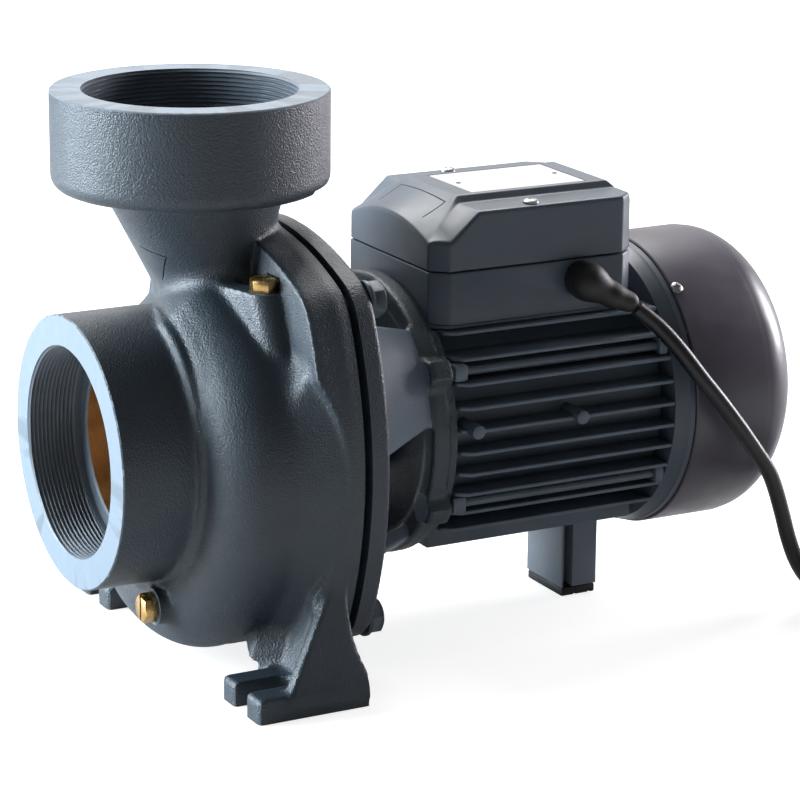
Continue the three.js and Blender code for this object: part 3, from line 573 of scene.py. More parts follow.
def drum_field(x, y, z):
    """The volute: a tube round the impeller, hollowed beside the vent boss, and the bead
    where the suction collar meets it."""
    drum = np.sqrt((y - DRUM_Y) ** 2 + (z - DRUM_Z) ** 2)
    around = np.arctan2(z - DRUM_Z, DRUM_Y - y)
    tongue = 11 * np.exp(-(((around - 0.95) / 0.45) ** 2)) * np.clip((drum - 60) / 30, 0, 1)
    pinch, front = volute_turn(y, z)
    drum = drum + tongue + 20.5 * pinch
    tube = np.sqrt((x - front) ** 2 + (drum - TUBE_PATH_R) ** 2) - TUBE_R
    barrel = corner([drum - DRUM_R, slab(x, 22, 50) + 9 * pinch], 1)
    middle = corner([drum - TUBE_PATH_R, np.maximum(front - 31 - x, x - 50)], 1)
    bead = np.sqrt((x - front + 30.5) ** 2
                   + (np.sqrt(y ** 2 + (z - SHAFT_Z) ** 2) - COLLAR_R - 1.5) ** 2) - 3.2
    bead = bead + 6 * pinch
    return smooth_union(np.minimum(np.minimum(tube, barrel), middle), bead, 1.5)


def neck_field(x, y, z):
    """The discharge neck, narrower and further back toward the volute."""
    down = np.clip((264 - z) / 74, -0.2, 1.6)
    half_x = 52.7 - 31.3 * np.minimum(down, 0.95)
    half_y = 46 - 7 * down
    across = np.sqrt(((x - 20 - 14 * down) / half_x) ** 2 + ((y - 15 * down) / half_y) ** 2)
    return np.maximum((across - 1) * 34, slab(z, 150, 275))


def shoulder_field(x, y, z):
    """The casing's square part, which tapers forward from its flange into the volute."""
    taper = np.clip(60 - x, 0, 32) ** 2 / 62
    outline = flange_distance(y, z, FLANGE_HALF - 1 - taper, FLANGE_CORNER - 0.9 * taper, 8)
    front = 31 + 17 * np.clip((z - 160) / 35, 0, 1)
    return corner([outline, np.maximum(front - x, x - 60)], 3)


def foot_field(x, across, z):
    """One slotted foot, with across measured from the shaft towards either side."""
    base = corner([slab(x, 0, 68.2), slab(across, 75.2, 120.2), slab(z, -12, 13.1)], 2.5)
    lean = 116 - 0.27 * (z - 12)
    front = 17.8 + 0.59 * (z - 13)
    rear = 56.7 + 11.8 * (np.clip(48 - z, 0, 45) / 39) ** 2
    side = corner([np.maximum(front - x, x - rear), np.abs(across - lean) - 3.8,
                   slab(z, 5, 78)], 1.5)
    inner = 57 + 12 * np.clip((22 - z) / 9, 0, 1) ** 2
    web_front = 20 + 0.3 * (z - 13) + 12 * np.clip((across - 66) / 14, 0, 1)
    web = corner([np.maximum(web_front - x, x - 57), np.maximum(inner - across, across - lean),
                  slab(z, 5, 72)], 2)
    foot = smooth_union(smooth_union(base, side, 2.5), web, 4)
    slot = np.sqrt(np.maximum(x - 23.4, 0) ** 2 + (across - SLOT_Y) ** 2) - 6.65
    return smooth_cut(foot, slot, 1.5)


def wedge(x, y, start, end):
    """An upright wall between two round ends, each (x, y, radius), which may change with z."""
    ax, ay, a_radius = start
    bx, by, b_radius = end
    ux, uy = bx - ax, by - ay
    t = np.clip(((x - ax) * ux + (y - ay) * uy) / (ux ** 2 + uy ** 2), 0, 1)
    distance = np.sqrt((x - ax - t * ux) ** 2 + (y - ay - t * uy) ** 2)
    return distance - (a_radius + (b_radius - a_radius) * t)


def vent_boss(x, y, z):
    """A flat-topped boss, drawn out to a point on the left and a lobe on the right, whose
    sides run out downward into the volute."""
    vent_x, vent_y, vent_z = VENT
    below = np.maximum(vent_z - z, 0)
    trunk = (vent_x + 0.5, vent_y + 1.5 - 0.48 * below, 10.8 - 0.06 * below)
    point = (18.5 + 0.12 * below, -29 - 0.7 * below, 1.6)
    lobe = (46.5 - 0.5 * below, -49 - 0.6 * below, 4)
    boss = smooth_union(wedge(x, y, trunk, point), wedge(x, y, trunk, lobe), 2)
    return corner([boss, slab(z, 140, vent_z + 0.4)], 0.8)


def casing_field(x, y, z):
    shaft = np.sqrt(y ** 2 + (z - SHAFT_Z) ** 2)
    body = drum_field(x, y, z)
    suction = corner([shaft - COLLAR_R, slab(x, SUCTION_X - 4, 10)], 2)
    body = smooth_union(body, suction, 2.5)
    body = smooth_union(body, neck_field(x, y, z), 11)
    outlet = np.sqrt((x - OUTLET_X) ** 2 + y ** 2)
    collar = corner([outlet - COLLAR_R, slab(z, 256, 330)], 8)
    body = smooth_union(body, collar, 2.5)
    body = smooth_union(body, shoulder_field(x, y, z), 10)
    flange_front = np.maximum(55 - 0.0045 * (z - 115) ** 2, CASING_FLANGE[0])
    flange = corner([flange_distance(y, z, FLANGE_HALF, FLANGE_CORNER, 8),
                     np.maximum(flange_front - x, x - CASING_FLANGE[1] - 3)], 1.5)
    body = smooth_union(body, flange, 2.5)
    body = smooth_union(body, vent_boss(x, y, z), 3)
    drain_x, drain_y, drain_z = DRAIN
    drain = corner([np.sqrt((y - drain_y) ** 2 + (z - drain_z) ** 2) - 9.8,
                    slab(x, drain_x - 3, 10)], 1)
    body = smooth_union(body, drain, 4)
    return smooth_union(body, foot_field(x, np.abs(y), z), 5)


def thread_cutter(name, along, start, depth, lead_in, at):
    """A bore with a real helical V thread. along is the coordinate axis, and the thread runs
    from start in the direction of depth."""
    steps_per_turn = 8
    segments = 128
    count = int(abs(depth) / THREAD_PITCH * steps_per_turn)
    direction = math.copysign(1, depth)
    rings = []
    for i in range(count + 1):
        inward = abs(depth) * i / count
        ring = []
        for k in range(segments):
            turns = inward / THREAD_PITCH - k / segments
            tooth = abs((turns % 1) - 0.5) * 2
            fade = min(1, max(0, (abs(depth) - inward) / 2))
            radius = THREAD_R + THREAD_HEIGHT * min(1, 1.15 * tooth) * fade
            radius = max(radius, THREAD_R + lead_in - inward)
            ring.append((start + direction * inward, radius, 2 * math.pi * k / segments))
        rings.append(ring)
    rings.insert(0, [(start - direction * 6, THREAD_R + lead_in, a) for _, _, a in rings[0]])
    u, v = at
    if along == "x":
        spots = [[(s, u + r * math.cos(a), v + r * math.sin(a)) for s, r, a in ring]
                 for ring in rings]
    else:
        spots = [[(u + r * math.cos(a), v + r * math.sin(a), s) for s, r, a in ring]
                 for ring in rings]
    return rings_to_mesh(name, spots)


def neck_mark():
    """A fine angled groove on the front of the neck, 0.8 mm deep."""
    spots = []
    for y, z in ((1, 207), (-14.5, 223), (3, 226)):
        line = np.arange(-45, 30, 0.1)
        inside = casing_field(line, np.array(float(y)), np.array(float(z))) < 0
        spots.append(Vector((line[np.argmax(inside)], y, z)))
    strips = []
    for a, b, across in ((spots[0], spots[1], Vector((0, 0.45, 0))),
                         (spots[1], spots[2], Vector((0, 0, 0.3)))):
        depth = Vector((0.8, 0, 0))
        strips.append(rings_to_mesh("cut", [
            [end - across - 3 * depth, end + across - 3 * depth, end + across + depth,
             end - across + depth] for end in (a, b)]))
    return strips


def suction_cutters():
    """The flat face, its edge, the thread, the throat and the room behind it."""
    front = lathe("cut", [
        (SUCTION_X - 20, 0), (SUCTION_X - 20, 90), (SUCTION_X, 90), (SUCTION_X, 0)],
        128)
    edge = lathe("cut", [
        (SUCTION_X - 0.5, 71.8), (SUCTION_X - 0.5, 90), (SUCTION_X + 0.8, 90),
        (SUCTION_X + 0.8, 73.1)], 128)
    thread = thread_cutter("cut", "x", SUCTION_X, THREAD_DEPTH, 0.7, (0, SHAFT_Z))
    end = SUCTION_THREAD_END
    waterway = lathe("cut", [
        (end - 0.5, 0), (end - 0.5, THREAD_R - 0.4), (end + 3, THREAD_R - 0.4),
        (end + 3, PORT_R + 1), (end + 4, PORT_R), (-1, PORT_R), (0, 44.2),
        (9, 44.2), (9, 58), (11, 72), (18, 81), (56, 81), (56, 94), (80, 94), (80, 0)],
        128)
    chamber = lathe("cut", [(2, 70), (2, 76), (8, 84), (18, 91), (30, 92), (50, 92), (50, 70)],
                    128, -2, 105)
    return [front, edge, thread, waterway, chamber]


def outlet_cutters():
    """The flat face with its edge, the thread and the tapered way down to the impeller."""
    top = upright("cut", OUTLET_X, 0, [
        (OUTLET_Z, 0), (OUTLET_Z, COLLAR_R - 0.8), (OUTLET_Z - 0.8, COLLAR_R + 0.1),
        (OUTLET_Z - 0.8, 90), (OUTLET_Z + 30, 90), (OUTLET_Z + 30, 0)], 128)
    thread = thread_cutter("cut", "z", OUTLET_Z, -THREAD_DEPTH, 0.7, (OUTLET_X, 0))
    end = OUTLET_Z - THREAD_DEPTH
    way = upright("cut", OUTLET_X, 0, [
        (end + 0.5, 0), (end + 0.5, THREAD_R - 0.4), (end - 3, THREAD_R - 0.4),
        (end - 3, PORT_R), (266, 34), (255, 34), (255, 0)], 96)
    neck_way = rings_to_mesh("cut", [
        [(*spot, z) for spot in regular(x, 0, radius, 64)]
        for z, x, radius in ((262, 19, 33), (240, 22, 29), (215, 28, 23), (184, 34, 18))])
    return [top, thread, way, neck_way]


def plug_cutters():
    """The seats and holes of the vent plug and the drain plug."""
    x, y, z = VENT
    vent_face = upright("cut", x, y, [(z, 0), (z, 9.3), (z + 8, 9.3), (z + 8, 0)], 48)
    vent_hole = post("cut", x, y, 172, z + 1, PLUG_HOLE_R)
    x, y, z = DRAIN
    drain_face = rod("cut", x - 20, x, y, z, 14)
    drain_hole = rod("cut", x - 1, 6, y, z, PLUG_HOLE_R)
    return [vent_face, vent_hole, drain_face, drain_hole]


def turned_face(x, y, z, normals):
    """Where the casing is machined: port faces and threads, flange face, feet, plug seats."""
    shaft = np.hypot(y, z - SHAFT_Z)
    outlet = np.hypot(x - OUTLET_X, y)
    suction = (x < 12) & (shaft < COLLAR_R - 0.3) & ((x < SUCTION_X + 1) | (shaft < 58))
    discharge = (z > 279) & (outlet < COLLAR_R - 0.1) & ((z > OUTLET_Z - 1) | (outlet < 58))
    flats = ((x > CASING_FLANGE[1] - 0.1) & (normals[:, 0] > 0.9) & (z < 240)) | (z < 0.05)
    vent = (np.hypot(x - VENT[0], y - VENT[1]) < 9.2) & (np.abs(z - VENT[2]) < 0.3)
    drain = (np.hypot(y - DRAIN[1], z - DRAIN[2]) < 13) & (np.abs(x - DRAIN[0]) < 0.3)
    return suction | discharge | flats | vent | drain


def throat(x, y, z, normals):
    """The brass ring between the suction thread and the impeller's eye."""
    return ((x > SUCTION_THREAD_END + 4) & (x < 8.9)
            & (np.hypot(y, z - SHAFT_Z) < PORT_R + 0.2))


def casing():
    piece = from_field("volute_casing_visual", casing_field, (-60, -124, -5), (97, 124, 322),
                       CAST_STEP)
    back = block("cut", CASING_FLANGE[1], 90, -140, 140, -40, 260)
    floor = block("cut", -20, 90, -140, 140, -40, 0)
    bolt_holes = [rod("cut", 43, 80, y, z, BOLT_R + 0.4, 24) for y, z in BOLT_PLACES]
    cut(piece, *suction_cutters(), *outlet_cutters(), back, floor, *plug_cutters(),
        *bolt_holes)
    cut(piece, *neck_mark())
    done(piece, CASTING, "volute_casing", smooth_angle=32)
    repaint(piece, MACHINED, turned_face)
    repaint(piece, CAST_BRASS, throat)


casing()


# ---- plugs, gasket and flange bolts ----
def hex_plug(node, at, along, hex_radius=8.1):
    """A plug whose hexagon is 7 mm high on its seat, with a screwdriver slot and chamfers."""
    head = post("plug", 0, 0, 0.2, 7.3, hex_radius, 6, 0.3)
    crown = upright("cut", 0, 0, [(6.3, hex_radius + 0.1), (7.4, hex_radius - 1.7),
                                  (9, hex_radius - 1.7), (9, 20), (6.3, 20)], 48)
    slot = block("cut", -20, 20, -0.9, 0.9, 5, 9)
    cut(head, crown, slot)
    bevel(head, 0.25, 1, 40)
    shank = upright("cut", 0, 0, [(-11, 0), (-11, 3.4), (-10, 4), (1, 4), (1, 0)], 32)
    join(head, shank)
    if along == "x":
        head.data.transform(Matrix.Rotation(math.radians(-90), 4, "Y"))
    head.data.transform(Matrix.Translation(at))
    done(head, BRASS, node)


def fasteners():
    hex_plug("vent_plug", VENT, "z")
    hex_plug("drain_plug", DRAIN, "x")
    plain_turned("casing_gasket", GASKET, [
        (63.2, 95.5), (67.3, 95.5), (67.3, 107), (65.2, 107.6), (63.2, 107)], 128)
    for i, (y, z) in enumerate(BOLT_PLACES):
        head = rod("bolt", 80.4, 88, y, z, 9.8, 6, 0.35 + 0.5 * i)
        crown = lathe("cut", [(86.9, 9.9), (88.1, 8.2), (92, 8.2), (92, 20), (86.9, 20)],
                      48, y, z)
        cut(head, crown)
        bevel(head, 0.35, 2, 40)
        washer = rod("washer", 78.2, 80.6, y, z, 10.5, 48)
        bevel(washer, 0.4, 2, 40)
        shank = rod("shank", 47, 81, y, z, BOLT_R - 0.3, 32)
        join(head, washer, shank)
        done(head, DARK_STEEL, f"flange_bolt_{i + 1}")


fasteners()


# ---- motor bracket ----
TIE_PLACES = [(side * 66.5, SHAFT_Z + level * 36.6) for side in (-1, 1) for level in (1, -1)]
TIE_HOLE_R = 3
CONE_X = (78, 124)
CONE_R = (92, 76)
BRACKET_STEP = 1.25


def bracket_field(x, y, z):
    """The flange, a lantern cone open at its sides and top, and the front end shield."""
    across = np.abs(y)
    shaft = np.sqrt(y ** 2 + (z - SHAFT_Z) ** 2)
    angle = np.degrees(np.arctan2(z - SHAFT_Z, across))
    flange = corner([flange_distance(y, z, FLANGE_HALF, FLANGE_CORNER, 8),
                     slab(x, BRACKET_FLANGE[0] - 4, BRACKET_FLANGE[1])], 2)
    outer = CONE_R[0] - (CONE_R[0] - CONE_R[1]) * (x - CONE_X[0]) / (CONE_X[1] - CONE_X[0])
    cone = corner([shaft - outer, outer - 8 - shaft, slab(x, 74, 128)], 1)
    window_top = -1 + 10 * (x - 81) / 43
    window = corner([np.maximum(angle - window_top, -48 - angle) * 1.4, slab(x, 81.5, 123.5),
                     50 - shaft], 3)
    cone = smooth_cut(cone, window, 2)
    top_window = corner([(50 - angle) * 1.4, slab(x, 81.5, 123.5), 50 - shaft], 3)
    cone = smooth_cut(cone, top_window, 2)
    body = smooth_union(flange, cone, 4)
    spigot = corner([shaft - 93, 86 - shaft, slab(x, 60, 72)], 0.6)
    shield = corner([shaft - 78, slab(x, 124, 133.2)], 1.2)
    rim = corner([shaft - 76.2, slab(x, 130, 140)], 0.8)
    hub = corner([shaft - 30, slab(x, 118, 148)], 2)
    register = corner([shaft - 59.4, 53 - shaft, slab(x, 130, 144)], 0.8)
    hollow = corner([shaft - 54, 36 - shaft, slab(x, 134, 150)], 2)
    side, height = across - 66.5, np.abs(z - SHAFT_Z) - 36.6
    hexagon = np.maximum(np.abs(side) * 0.866 + np.abs(height) * 0.5, np.abs(height)) - 8.6
    lug = corner([hexagon, slab(x, 122.5, 136)], 1.5)
    shield = smooth_cut(np.minimum(np.minimum(shield, rim), hub), hollow, 1)
    body = smooth_union(np.minimum(body, spigot), np.minimum(shield, register), 4)
    body = smooth_union(body, lug, 2)
    box_room = corner([across - 60, 135.6 - x, 175.9 - z, 59.4 - shaft], 0.5)
    return smooth_cut(body, box_room, 0.5)


def bracket():
    piece = from_field("motor_bracket_visual", bracket_field, (54, -121, 0), (152, 121, 238),
                       BRACKET_STEP)
    front = block("cut", 20, 60, -150, 150, -20, 260)
    joint_face = lathe("cut", [(40, 93), (BRACKET_FLANGE[0], 93), (BRACKET_FLANGE[0], 180),
                               (40, 180)], 128)
    rear_face = lathe("cut", [(138, 59.4), (160, 59.4), (160, 120), (138, 120)], 128)
    seal_bore = lathe("cut", [(50, 0), (50, 17.3), (73, 17.3), (73, 12.8), (126.2, 12.8),
                              (126.2, 26.3), (160, 26.3), (160, 0)], 96)
    holes = [rod("cut", 50, 85, y, z, BOLT_R + 0.4, 24) for y, z in BOLT_PLACES]
    holes += [rod("cut", 126, 150, y, z, TIE_HOLE_R, 24) for y, z in TIE_PLACES]
    cut(piece, front, joint_face, rear_face, seal_bore, *holes)
    done(piece, BRACKET, "motor_bracket", smooth_angle=32)
    # The flange and end shield keep the darker casting colour. The lighter cone colour between them
    # is partly painted light.
    repaint(piece, CASTING, lambda x, y, z, n: (x < BRACKET_FLANGE[1] + 1) | (x > 122.5))


bracket()


# ---- motor frame ----
FRAME_X = (138.5, 273)
BARREL_R = 66
FIN_TIP_R = 80
FIN_PITCH = 12.2
FOOT_SCREW_X = 252.5


def motor_frame():
    x0, x1 = FRAME_X
    piece = lathe("motor_frame_visual", [
        (x0, 60), (x0, BARREL_R - 0.8), (x0 + 0.8, BARREL_R), (x1 - 0.8, BARREL_R),
        (x1, BARREL_R - 0.8), (x1, 60)], 160)
    parts = []
    for side in (-1, 1):
        for row in range(-5, 5):
            level = (row + 0.5) * FIN_PITCH
            tip = math.sqrt(FIN_TIP_R ** 2 - level ** 2)
            root = math.sqrt(BARREL_R ** 2 - (abs(level) + 1.4) ** 2) - 2
            middle = SHAFT_Z + level
            outline = [(x0 + 0.2, side * root), (x0 + 2, side * (tip - 4)),
                       (x0 + 8, side * tip), (x1 - 0.2, side * tip), (x1 - 0.2, side * root)]
            fin = rings_to_mesh("fin", [[(x, y, middle + h) for x, y in outline]
                                        for h in (-1.15, 1.15)])
            bevel(fin, 0.7, 2, 40)
            parts.append(fin)
    pad = block("pad", x0 + 1, x1 - 3, -41, 41, 50.5, 66)
    bevel(pad, 1.2)
    barrel_room = lathe("cut", [(100, 0), (100, 65), (300, 65), (300, 0)], 128)
    cut(pad, barrel_room)
    parts.append(pad)
    for x in (147, 211.5):
        for side in (-1, 1):
            reach = sorted((side * 62, side * 84))
            stud = prism("stud", regular(x, 127, 3.9, 32), "y", *reach)
            bevel(stud, 0.9, 2, 40)
            parts.append(stud)
    for y, z in TIE_PLACES:
        inner = 62 * y / abs(y)
        for low, high in ((x0 + 0.4, 147), (267, x1 - 0.4)):
            lug = block("lug", low, high, *sorted((inner, y + math.copysign(5, y))),
                        z - 4.6, z + 4.6)
            bevel(lug, 1.5)
            cut(lug, rod("cut", low - 2, high + 2, y, z, TIE_HOLE_R, 24))
            parts.append(lug)
    join(piece, *parts)
    box_room = block("cut", 140, 262, -56, 56, 176, 210)
    keep = lathe("cut", [(120, 0), (120, BARREL_R), (280, BARREL_R), (280, 0)], 160)
    cut(box_room, keep)
    wire_hole = post("cut", 200, 0, 170, 200, 9)
    foot_hole = post("cut", FOOT_SCREW_X, 0, 45, 59.5, 4.3)
    tie_rooms = [rod("cut", 120, 290, y, z, TIE_HOLE_R, 24) for y, z in TIE_PLACES]
    cut(piece, box_room, wire_hole, foot_hole, *tie_rooms)
    done(piece, FRAME, "motor_frame")
    for i, (y, z) in enumerate(TIE_PLACES):
        tie = rod("tie", 127, 286, y, z, 2.5, 24)
        head = rod("head", 285.4, 289, y, z, 4.6, 6, 0.2 * i)
        bevel(head, 0.3, 1, 40)
        join(tie, head)
        done(tie, FRAME, f"tie_rod_{i + 1}")


motor_frame()


# ---- rear end shield, fan cover and fan ----
COVER_R = 83.5
COVER_SCREW_X = 288.2
COVER_SCREW_ANGLES = (-90, 130)


def rear_shield():
    piece = lathe("rear_end_shield_visual", [
        (264, 9.2), (286, 9.2), (286, 24), (284, 28), (284, 76.5), (291, 76.5), (291, 80.4),
        (290.6, 80.8), (285, 80.8), (285, 81.6), (284.6, 82), (281.4, 82), (281, 81.6),
        (279.5, 80.6), (273.6, 79), (273.4, 78.6), (273.4, 59.4), (267, 59.4), (267, 55),
        (279, 54), (279, 27), (264, 25)], 160)
    bearing_room = lathe("cut", [(250, 0), (250, 20.3), (281.5, 20.3), (281.5, 0)], 96)
    rooms = [rod("cut", 262, 286, y, z, TIE_HOLE_R, 24) for y, z in TIE_PLACES]
    rooms += [rod("cut", 284.9, 295, y, z, 6.5, 32) for y, z in TIE_PLACES]
    cut(piece, bearing_room, *rooms)
    done(piece, BOX, "rear_end_shield")


def fan_cover():
    dome = []
    for i in range(17):
        a = math.pi / 2 * i / 16
        dome.append((333 + 28.5 * math.sin(a) ** 1.15, 46 + 37 * math.cos(a) ** 0.9))
    outside = [(285.3, 82.6), (285.9, 83.3), (331, COVER_R), *dome, (363, 42), (363, 0)]
    inside = [(361, 0), (361, 42)] + [(x - 1.6, r - 1.8) for x, r in reversed(dome)]
    inside += [(330, 81.5), (285.9, 81.2), (285.3, 81.5)]
    piece = lathe("fan_cover_visual", outside + inside, 160)
    slot = [(y, SHAFT_Z + r) for y, r in ((-2.6, 17.6), (2.6, 17.6), (2.6, 43.4), (1.5, 45),
                                          (0, 45.6), (-1.5, 45), (-2.6, 43.4))]
    slots = [turned(prism("cut", slot, "x", 352, 370), 360 * (i + 0.5) / 16)
             for i in range(16)]
    holes = [turned(post("cut", COVER_SCREW_X, 0, SHAFT_Z + 76, SHAFT_Z + 92, 2.3, 24),
                    angle - 90) for angle in COVER_SCREW_ANGLES]
    cut(piece, *slots, *holes)
    done(piece, COVER, "fan_cover", smooth_angle=40)
    for i, angle in enumerate(COVER_SCREW_ANGLES):
        screw = upright("screw", COVER_SCREW_X, 0, [
            (SHAFT_Z + h, r) for h, r in ((81, 0), (81, 1.9), (83.4, 1.9), (83.4, 3.6),
                                          (84.2, 3.4), (84.9, 2.2), (85.1, 0))], 32)
        cross = block("cut", 286, 290.4, -0.4, 0.4, SHAFT_Z + 84.2, SHAFT_Z + 87)
        across = block("cut", 287.8, 288.6, -2.2, 2.2, SHAFT_Z + 84.2, SHAFT_Z + 87)
        cut(screw, cross, across)
        turned(screw, angle - 90)
        done(screw, ZINC, f"fan_cover_screw_{i + 1}")


def fan():
    piece = lathe("cooling_fan_visual", [(290, 8.5), (306, 8.5), (306, 14.5), (305.5, 15),
                                         (301.5, 15.5), (301.5, 46), (299, 46), (299, 15.5),
                                         (290.5, 15), (290, 14.5)], 96)
    outline = [(x, SHAFT_Z + r) for x, r in ((294, 40), (299, 14), (318, 14), (318, 66),
                                             (314, 70), (298, 70), (294, 66))]
    blades = []
    for i in range(8):
        blade = rings_to_mesh("blade", [[(x, h, z) for x, z in outline] for h in (-1.1, 1.1)])
        bevel(blade, 0.5, 2, 40)
        blades.append(turned(blade, 45 * i))
    join(piece, *blades)
    room = lathe("cut", [(301.6, 0), (301.6, 12.3), (330, 12.3), (330, 0)], 64)
    cut(piece, room)
    done(piece, NYLON, "cooling_fan", "rotor")


rear_shield()
fan_cover()
fan()


# ---- terminal box ----
BOX_X = (136, 262)
BOX_HALF = 53
BOX_BOTTOM_Z = 176.3
BOX_SPLIT_Z = (206.9, 207.4)
BOX_LEDGE_Z = 239
BOX_TOP_Z = 243
BOX_WALL = 4
SLOPE_END_X = 162.6
BOX_SCREWS = [(198, -46), (198, 46)]
GLAND = (225.6, 196.2)
COVER_STEP = 0.8


def box_outline(grown=0.0):
    """The box seen from above, with its corners cut."""
    x0, x1 = BOX_X[0] - grown, BOX_X[1] + grown
    half = BOX_HALF + grown
    return [(x0 + 10, -half), (x1 - 9, -half), (x1, 8 - half), (x1, half - 8), (x1 - 9, half),
            (x0 + 10, half), (x0, half - 8), (x0, 8 - half)]


def cover_top(x, y):
    """The height of the cover: a front slope with an arched lower edge and cut corners, then a
    raised platform between two ledges."""
    across = np.abs(y)
    t = np.clip((x - BOX_X[0]) / (SLOPE_END_X - BOX_X[0]), 0, 1)
    slope_half = 44 - 16 * t
    arch = 231.8 - 9.4 * np.minimum(across / slope_half, 1) ** 2
    slope = arch + (BOX_TOP_Z - arch) * t
    edge_z = 222.4 + (BOX_TOP_Z - 222.4) * t
    side_half = np.minimum(45 + 0.8 * (x - BOX_X[0]), BOX_HALF)
    side_z = 223.6 + (BOX_LEDGE_Z - 223.6) * np.clip((x - 146) / (SLOPE_END_X - 146), 0, 1)
    s = np.clip((across - slope_half) / np.maximum(side_half - slope_half, 1), 0, 1)
    hollow = t ** 6 * 3.1 * np.clip(s / 0.14, 0, 1) * np.clip((1 - s) / 0.86, 0, 1)
    band = edge_z + (side_z - edge_z) * s - hollow
    return np.where(across < slope_half, slope, band)


def cover_field(x, y, z):
    across = np.abs(y)
    cut_corner = (np.abs(x - 199) + 1.12 * across - (63 + 1.12 * BOX_HALF - 9.6)) * 0.67
    rear = z - BOX_TOP_Z + 0.55 * np.maximum(x - 256, 0) ** 1.4
    outer = corner([np.abs(x - 199) - 63, across - BOX_HALF], 0.8)
    outer = np.maximum(outer, cut_corner)
    top = np.maximum((z - cover_top(x, y)) * 0.87, rear * 0.8)
    outer = -smooth_union(-outer, -top, 1.6)
    inner = np.maximum(outer + BOX_WALL, z - BOX_TOP_Z + 8)
    return np.maximum(np.maximum(outer, -inner), BOX_SPLIT_Z[1] - z)


def box_base():
    piece = prism("terminal_box_base_visual", box_outline(), "z", BOX_BOTTOM_Z, BOX_SPLIT_Z[0])
    bevel(piece, 0.9, 3, 20)
    lip = prism("lip", box_outline(0.9), "z", BOX_BOTTOM_Z, BOX_BOTTOM_Z + 2.2)
    bevel(lip, 0.7, 2, 20)
    room = prism("cut", box_outline(-BOX_WALL), "z", BOX_BOTTOM_Z + BOX_WALL, BOX_SPLIT_Z[0] + 2)
    saddle = lathe("cut", [(120, 0), (120, 66.7), (280, 66.7), (280, 0)], 160)
    gland_hole = prism("cut", regular(*GLAND, 7.6, 32), "y", -56, -45)
    join(piece, lip)
    cut(piece, room, saddle, gland_hole)
    join(piece, *[post("post", x, y, BOX_BOTTOM_Z + 3, BOX_SPLIT_Z[0], 5)
                  for x, y in BOX_SCREWS])
    cut(piece, *[post("cut", x, y, 185, 210, 2.2, 24) for x, y in BOX_SCREWS])
    done(piece, BOX, "terminal_box_base")


def box_cover():
    piece = from_field("terminal_box_cover_visual", cover_field, (132, -57, 204),
                       (266, 57, 247), COVER_STEP)
    bottom = block("cut", 120, 280, -70, 70, 200, BOX_SPLIT_Z[1])
    label_seat = block("cut", 173.4, 245.6, -24.9, 24.9, BOX_TOP_Z - 0.9, BOX_TOP_Z + 4)
    holes = [post("cut", x, y, 200, 250, 2.2, 24) for x, y in BOX_SCREWS]
    seats = [post("cut", x, y, BOX_LEDGE_Z + 0.1, BOX_LEDGE_Z + 8, 5.2) for x, y in BOX_SCREWS]
    cut(piece, bottom, label_seat, *holes, *seats)
    outline_groove(piece)
    done(piece, BOX, "terminal_box_cover", smooth_angle=40)


def outline_groove(piece):
    """A plain outline pressed into the slope."""
    strips = []
    corners = [(143.5, 25), (157, 25), (157, -25), (143.5, -25)]
    for (x0, y0), (x1, y1) in zip(corners, corners[1:]):
        ends = []
        for x, y in ((x0, y0), (x1, y1)):
            z = float(cover_top(np.array(float(x)), np.array(float(y))))
            ends.append((x, y, z))
        strips.append(groove_strip(*ends))
    cut(piece, *strips)


def groove_strip(start, end):
    """A thin bar sunk 0.6 mm below the line between two points."""
    a, b = Vector(start), Vector(end)
    along = (b - a).normalized()
    side = along.cross(Vector((-0.38, 0, 0.925))).normalized() * 0.35
    rings = []
    for middle in (a - along * 0.3, b + along * 0.3):
        rings.append([middle + side + Vector((0, 0, h)) if k else middle - side + Vector((0, 0, h))
                      for k, h in ((0, -0.6), (1, -0.6), (1, 3), (0, 3))])
    return rings_to_mesh("cut", rings)


def box_details():
    gasket = prism("terminal_box_gasket_visual", box_outline(-2.5), "z", BOX_SPLIT_Z[0] - 0.1,
                   BOX_SPLIT_Z[1] + 1.6)
    room = prism("cut", box_outline(-4.4), "z", 200, 215)
    cut(gasket, room, *[post("cut", x, y, 200, 215, 2.5, 24) for x, y in BOX_SCREWS])
    done(gasket, GASKET, "terminal_box_gasket")
    head = [(BOX_LEDGE_Z + h, r) for h, r in ((0.3, 1.8), (0.3, 4.3), (1.3, 4.2), (2.1, 3.3),
                                              (2.4, 1.6), (2.45, 0))]
    for i, (x, y) in enumerate(BOX_SCREWS):
        screw = upright("screw", x, y, [(188, 0), (188, 1.2), (190, 1.8), *head], 48)
        slots = [prism("cut", [(x + u * c - v * s, y + u * s + v * c)
                               for u, v in ((-2.6, -0.45), (2.6, -0.45), (2.6, 0.45),
                                            (-2.6, 0.45))],
                       "z", BOX_LEDGE_Z + 1.2, BOX_LEDGE_Z + 4)
                 for c, s in ((0.92, 0.39), (-0.39, 0.92))]
        cut(screw, *slots)
        done(screw, ZINC, f"box_cover_screw_{i + 1}")
    plate = block("label_plate_visual", 174, 245, -24.3, 24.3, BOX_TOP_Z - 0.8, BOX_TOP_Z - 0.1)
    bevel(plate, 0.15, 1, 40)
    done(plate, LABEL, "label_plate")
    rivet = [(BOX_TOP_Z + h, r) for h, r in ((-0.2, 0), (-0.2, 1.5), (0.25, 1.3), (0.45, 0.6),
                                             (0.5, 0))]
    rivets = [upright("label_rivets_visual", x, 0, rivet, 24)
              for x in (179, 240)]
    join(*rivets)
    done(rivets[0], DARK_STEEL)


